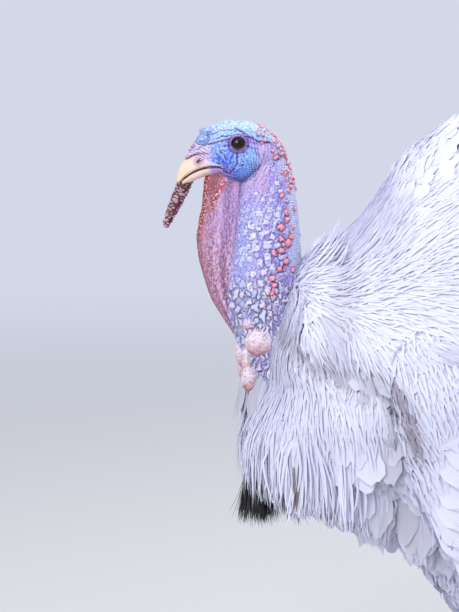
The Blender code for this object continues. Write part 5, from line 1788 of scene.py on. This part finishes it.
def shape_caruncles(points, normals, zone, colours, height):
    mask = zone["caruncle"]
    height += mask * (0.0010 * lumps(points, 0.008, 6.0) + 0.0004 * lumps(points, 0.0028, 8.0))
    base = one_colour(points, (0.90, 0.83, 0.88))
    # painted shade on the caruncles' undersides
    paint(base, step(0.1, -0.8, normals[:, 2]) * 0.7, (0.78, 0.48, 0.46))
    paint(base, step(0.1, 0.5, lumps(points, 0.005, 12.0)) * 0.45, (0.82, 0.60, 0.66))
    lowest = step(0.412, 0.400, points[:, 2])
    paint(base, lowest * step(-0.2, 0.3, lumps(points, 0.004, 19.0)), (0.62, 0.28, 0.20))
    paint(colours, mask, base)


SKIN_PARTS = (
    (shape_neck, ("neck",)), (shape_head, ("head", "lobe", "rim", "neck", "dewlap")),
    (shape_cere, ("cere", "head")), (shape_dewlap, ("dewlap",)), (shape_snood, ("snood",)),
    (shape_caruncles, ("caruncle",)), (shape_bulbs, ("plate", "bulb")),
)


def make_skin(form, material):
    """The bare head and neck and the skin under the feathers, as one piece."""
    head = make_head_skin()
    body = body_skin(form)
    set_colours(body, one_colour(body.data.vertices, (0.86, 0.85, 0.90)))
    pair = [head, body]
    for item in pair:
        item.data.materials.clear()
        item.data.materials.append(material)
    with bpy.context.temp_override(
        active_object=head, object=head, selected_editable_objects=pair, selected_objects=pair
    ):
        bpy.ops.object.join()
    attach(head, "root")
    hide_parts("head", "neck", "dewlap", "snood")


# Eyes, bill, legs and beard

def make_eyes(material):
    for side, name in ((-1, "left"), (1, "right")):
        points, faces = ball((0, 0, 0), (EYE_RADIUS,) * 3, 48, 64)
        turned = points[:, (0, 2, 1)] * (1, side, 1)
        item = new_mesh(f"eyeball_{name}", turned + np.array(EYE_CENTRE) * (1, side, 1), faces)
        off = np.hypot(turned[:, 0], turned[:, 2])
        colours = one_colour(turned, (0.15, 0.07, 0.05))
        paint(colours, step(0.0058, 0.0070, off), (0.04, 0.03, 0.04))
        paint(colours, step(0.0040, 0.0034, off), (0.01, 0.01, 0.01))
        set_colours(item, colours)
        dress(item, material, "eye", f"eye_{name}")


def horn_tones(points):
    """Cream horn, streaked along, with painted shade at the line of the mouth."""
    x, _, z = points.T
    colours = one_colour(points, (0.86, 0.76, 0.72))
    paint(colours, step(-0.050, -0.066, x) * 0.7, (0.86, 0.76, 0.60))
    grain = lumps(points * (0.3, 1.0, 1.0), 0.0030, 52.0)
    paint(colours, step(0.0, 0.6, grain) * 0.35, (0.80, 0.64, 0.58))
    # painted shade in the gap where the two halves of the bill meet
    line = np.abs(z - np.interp(x, *np.array(MOUTH_LINE).T * MM))
    paint(colours, step(0.0016, 0.0004, line) * 0.75, (0.34, 0.16, 0.12))
    return colours


def shape_upper_bill(points, colours):
    """The nostril under its raised lid, and the soft skin at the root."""
    x, y, z = points.T
    outward = np.sign(y) * step(0.0010, 0.0040, np.abs(y))
    (slit_x, slit_z), half = NOSTRIL
    run, rise = NOSTRIL_SLANT[0] * half, NOSTRIL_SLANT[1] * half
    slit = ((slit_x - run, slit_z - rise), (slit_x + run, slit_z + rise))
    lid, hole = stroke(points, slit, 4.6), stroke(points, slit, 1.5)
    soft = step(-0.054, -0.047, x) * step(0.6500, 0.6545, z + 0.15 * (x + 0.04))
    points[:, 1] += outward * (0.0016 * lid - 0.0030 * hole)
    paint(colours, soft * 0.75, (0.80, 0.68, 0.82))
    paint(colours, step(0.15, 0.7, lid) * 0.7, (0.66, 0.46, 0.55))
    paint(colours, step(-0.040, -0.032, x) * step(0.6495, 0.6515, z) * 0.8, (0.62, 0.62, 0.92))
    # painted shade in the nostril's slit
    paint(colours, step(0.3, 0.7, hole), (0.20, 0.08, 0.07))


def shape_lower_bill(points, colours):
    patch = stroke(points, ((-30, 646), (-24, 646)), 4.0)
    paint(colours, patch * 0.85, (0.52, 0.44, 0.80))
    paint(colours, step(-0.027, -0.018, points[:, 0]) * 0.7, (0.74, 0.44, 0.60))


# Halves of the bill: the node, the sections, how high the widest place lies, and its own marks.
BILL_HALVES = (
    ("bill_upper", UPPER_BILL, 0.24, shape_upper_bill),
    ("bill_lower", LOWER_BILL, 0.80, shape_lower_bill),
)


def make_bill(material):
    for name, sections, belly, shape in BILL_HALVES:
        points, faces = loft(rings_along_x(sections, 130, 72, 1.0, belly))
        colours = horn_tones(points)
        shape(points, colours)
        item = new_mesh(name + "_horn", points, faces)
        set_colours(item, colours)
        dress(item, material, "horn", name)


def toe_form(angle, length, thickness):
    """A toe of the right foot, with a swelling at each joint."""
    heading = math.radians(angle)
    along = np.array((-math.cos(heading), math.sin(heading), 0.0))
    across = np.array((-along[1], along[0], 0.0))
    c, s = oval(24, 0.8)
    rings = []
    for t in np.linspace(0, 1, 40):
        swell = (1 - 0.42 * t) * (1 + 0.10 * math.cos(4 * math.pi * t)) * np.interp(t, (0.9, 1.0), (1.0, 0.6))
        middle = np.array((ANKLE[0], ANKLE[1], 0.0)) + along * length * t
        up = 1.45 * thickness * swell * (0.5 + 0.5 * s) - SOLE_CUT
        rings.append(middle + across * (thickness * swell * c)[:, None] + up[:, None] * (0.0, 0.0, 1.0))
    return loft(rings)


def leg_forms():
    """The bare part of the right leg."""
    hock, ankle = np.array(HOCK), np.array(ANKLE)
    path = [hock + (ankle - hock) * t for t in (-0.10, 0.0, 0.12, 0.5, 0.85, 1.04)]
    root = [(ANKLE[0], ANKLE[1], z) for z in (0.004, 0.010, 0.018, 0.030)]
    forms = [loft(tube_rings(path, SHANK_RADII, 60, 28, 0.88))]
    forms.append(loft(tube_rings(root, ANKLE_RADII, 14, 28)))
    return forms + [toe_form(*toe) for toe in TOES]


def scutes(run, turn, pitch, reach):
    """1 on plates in two columns along a limb's front, and 0 between them and outside."""
    u = run / pitch + 0.5 * (turn > 0)
    edge = np.abs(u % 1 - 0.5) * 2
    seam = np.minimum(np.abs(turn), np.abs(np.abs(turn) - reach))
    return step(1.0, 0.72, edge) * step(0.0, 0.14, seam) * (np.abs(turn) < reach)


PLATE_PITCH = 0.0062
PLATE_REACH = 1.25    # how far round the shank its plates reach on each side, in radians
TOE_PLATE_PITCH = 0.0044


def leg_pattern(points, normals):
    """Stretches of the right leg, and how raised each place is by plates and scales."""
    hock, ankle = np.array(HOCK), np.array(ANKLE)
    axis = unit(ankle - hock)
    run = (points - hock) @ axis
    off = points - hock - run[:, None] * axis
    turn = np.arctan2(off[:, 1], -off[:, 0])
    bent = warped(points, 0.006, 0.0006, 3.0)
    shank = step(0.026, 0.034, points[:, 2])
    plate = scutes(run + bent[:, 2] - points[:, 2], turn, PLATE_PITCH, PLATE_REACH) * shank
    far = np.hypot(*(points[:, :2] - ankle[:2]).T)
    toe_plate = step(1.0, 0.70, np.abs(far / TOE_PLATE_PITCH % 1 - 0.5) * 2)
    top = step(0.25, 0.65, normals[:, 2]) * step(0.016, 0.022, far) * (1 - shank)
    _, lead, pick = cells(bent, 0.0030, 8.0)
    front = shank * (np.abs(turn) < PLATE_REACH)
    scaly = (1 - front) * (1 - top)
    raised = plate * front + toe_plate * top + step(0.03, 0.30, lead) * scaly
    return SimpleNamespace(front=front, top=top, scaly=scaly, raised=raised, pick=pick)


def leg_tones(points, at, sole):
    colours = one_colour(points, (0.80, 0.60, 0.58))
    paint(colours, step(0.0, 0.6, lumps(points, 0.011, 21.0)) * 0.5, (0.76, 0.50, 0.50))
    paint(colours, at.raised * 0.45, (0.90, 0.76, 0.72))
    paint(colours, (1 - at.raised) * 0.55, (0.58, 0.38, 0.36))
    paint(colours, step(0.5, 0.9, at.pick) * at.scaly * 0.25, (0.72, 0.66, 0.70))
    paint(colours, sole * 0.6, (0.60, 0.46, 0.42))
    return colours


def above_floor(points):
    return np.column_stack([points[:, :2], np.maximum(points[:, 2], 0.0)])


def make_legs(material):
    """Shanks and feet with plates in front, scales behind and pads below."""
    forms = leg_forms()
    for side, end in ((1, "right"), (-1, "left")):
        item = remeshed(f"leg_{end}", forms, LEG_GRAIN)
        points = above_floor(spread(design_points(item), edges_of(item), 5))
        set_points(item, points)
        normals = normals_of(item)
        at = leg_pattern(points, normals)
        sole = step(0.0015, 0.0005, points[:, 2])
        depth = 0.00055 * (at.front + at.top) + 0.00035 * at.scaly
        height = depth * (at.raised - 0.6) * (1 - sole)
        set_colours(item, leg_tones(points, at, sole))
        points = above_floor(points + normals * height[:, None])
        set_points(item, points * (1, side, 1))
        if side < 0:
            item.data.flip_normals()
        dress(item, material, "leg_scale", f"shank_{end}", f"foot_{end}")


def dress_cad_nodes(horn):
    """Materials for the solids that stay as they are."""
    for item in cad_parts.values():
        if item.hide_render:
            continue
        item.data.materials.clear()
        item.data.materials.append(horn)


# Room

WORLD_COLOUR = (0.76, 0.80, 0.94)
WORLD_STRENGTH = 0.86
FADE_REACH = (0.7, 5.5)    # where the floor starts to pass into the world's colour, and where it has
FLOOR_REACH = 40.0


def floor_material():
    """A plain pale floor that passes into the colour of the world far from the bird."""
    material, tree, shader = node_material("floor")
    set_inputs(tree, shader, {
        "Base Color": (0.48, 0.48, 0.48, 1.0), "Roughness": 0.9, "Specular IOR Level": 0.1,
    })
    places = tree.nodes.new("ShaderNodeTexCoord")
    far = add_node(tree, "ShaderNodeVectorMath", {0: places.outputs["Object"]}, operation="LENGTH")
    inputs = {"From Min": FADE_REACH[0], "From Max": FADE_REACH[1], "Value": far.outputs["Value"]}
    share = add_node(tree, "ShaderNodeMapRange", inputs, interpolation_type="SMOOTHSTEP")
    inputs = {"Color": (*WORLD_COLOUR, 1.0), "Strength": WORLD_STRENGTH}
    glow = add_node(tree, "ShaderNodeEmission", inputs)
    set_surface(tree, share.outputs["Result"], shader.outputs["BSDF"], glow.outputs["Emission"])
    return material


def make_floor():
    mesh = bpy.data.meshes.new("floor")
    corners = [(x * FLOOR_REACH, y * FLOOR_REACH, 0) for x, y in ((-1, -1), (1, -1), (1, 1), (-1, 1))]
    mesh.from_pydata(corners, [], [(0, 1, 2, 3)])
    item = add_object("floor", mesh)
    item.data.materials.append(floor_material())


# Lights: name, place, height of the place that they face, width, watts and colour.
LIGHTS = (
    ("key", (-1.5, -2.7, 2.1), 0.45, 2.4, 104, (1.0, 0.985, 0.97)),
    ("top", (0.5, 0.4, 3.2), 0.40, 3.0, 56, (1.0, 0.99, 0.98)),
    ("back", (2.6, 1.8, 2.2), 0.45, 2.4, 58, (1.0, 0.99, 0.97)),
)


def area_light(name, place, target_height, size, power, colour):
    data = bpy.data.lights.new(name, "AREA")
    data.shape = "DISK"
    data.size = size
    data.energy = power
    data.color = colour
    item = add_object(name, data)
    item.location = place
    towards = Vector((0, 0, target_height)) - Vector(place)
    item.rotation_euler = towards.to_track_quat("-Z", "Y").to_euler()
    item.visible_camera = False


def make_lights():
    world = bpy.data.worlds.new("world")
    bpy.context.scene.world = world
    world.use_nodes = True
    background = world.node_tree.nodes["Background"]
    background.inputs["Color"].default_value = (*WORLD_COLOUR, 1.0)
    background.inputs["Strength"].default_value = WORLD_STRENGTH
    for row in LIGHTS:
        area_light(*row)


# The photograph's camera: its lens and the picture's long side in millimetres, place and tilt down.
LENS = 158.8
SENSOR = 36.0
CAMERA_PLACE = (-0.0117, -2.984, 0.807)
CAMERA_TILT = math.radians(6)


def make_camera():
    data = bpy.data.cameras.new("camera")
    data.lens = LENS
    data.sensor_width = SENSOR
    item = add_object("camera", data)
    item.location = np.array(CAMERA_PLACE) + (HOME_X, 0, 0)
    item.rotation_euler = (math.pi / 2 - CAMERA_TILT, 0, 0)
    bpy.context.scene.camera = item
    bpy.context.scene.view_settings.view_transform = "Standard"


def main():
    feather = feather_material()
    form = coat_form()
    make_skin(form, skin_material())
    make_eyes(eye_material())
    make_bill(horn_material())
    body_coat(form, feather)
    skirt(form, feather)
    limb_coat(thigh_form, "thigh_coat", feather, constant(THIGH_LIE), ("thigh",), hang=0.1)
    limb_coat(wing_form, "wing_coat", feather, wing_lie, (), rise=0.002)
    beard(bristle_material())
    collar(feather)
    tail(feather)
    wings(feather)
    make_legs(skin_material("leg_scale", 0.52))
    dress_cad_nodes(claw_material())
    make_floor()
    make_lights()
    make_camera()


main()
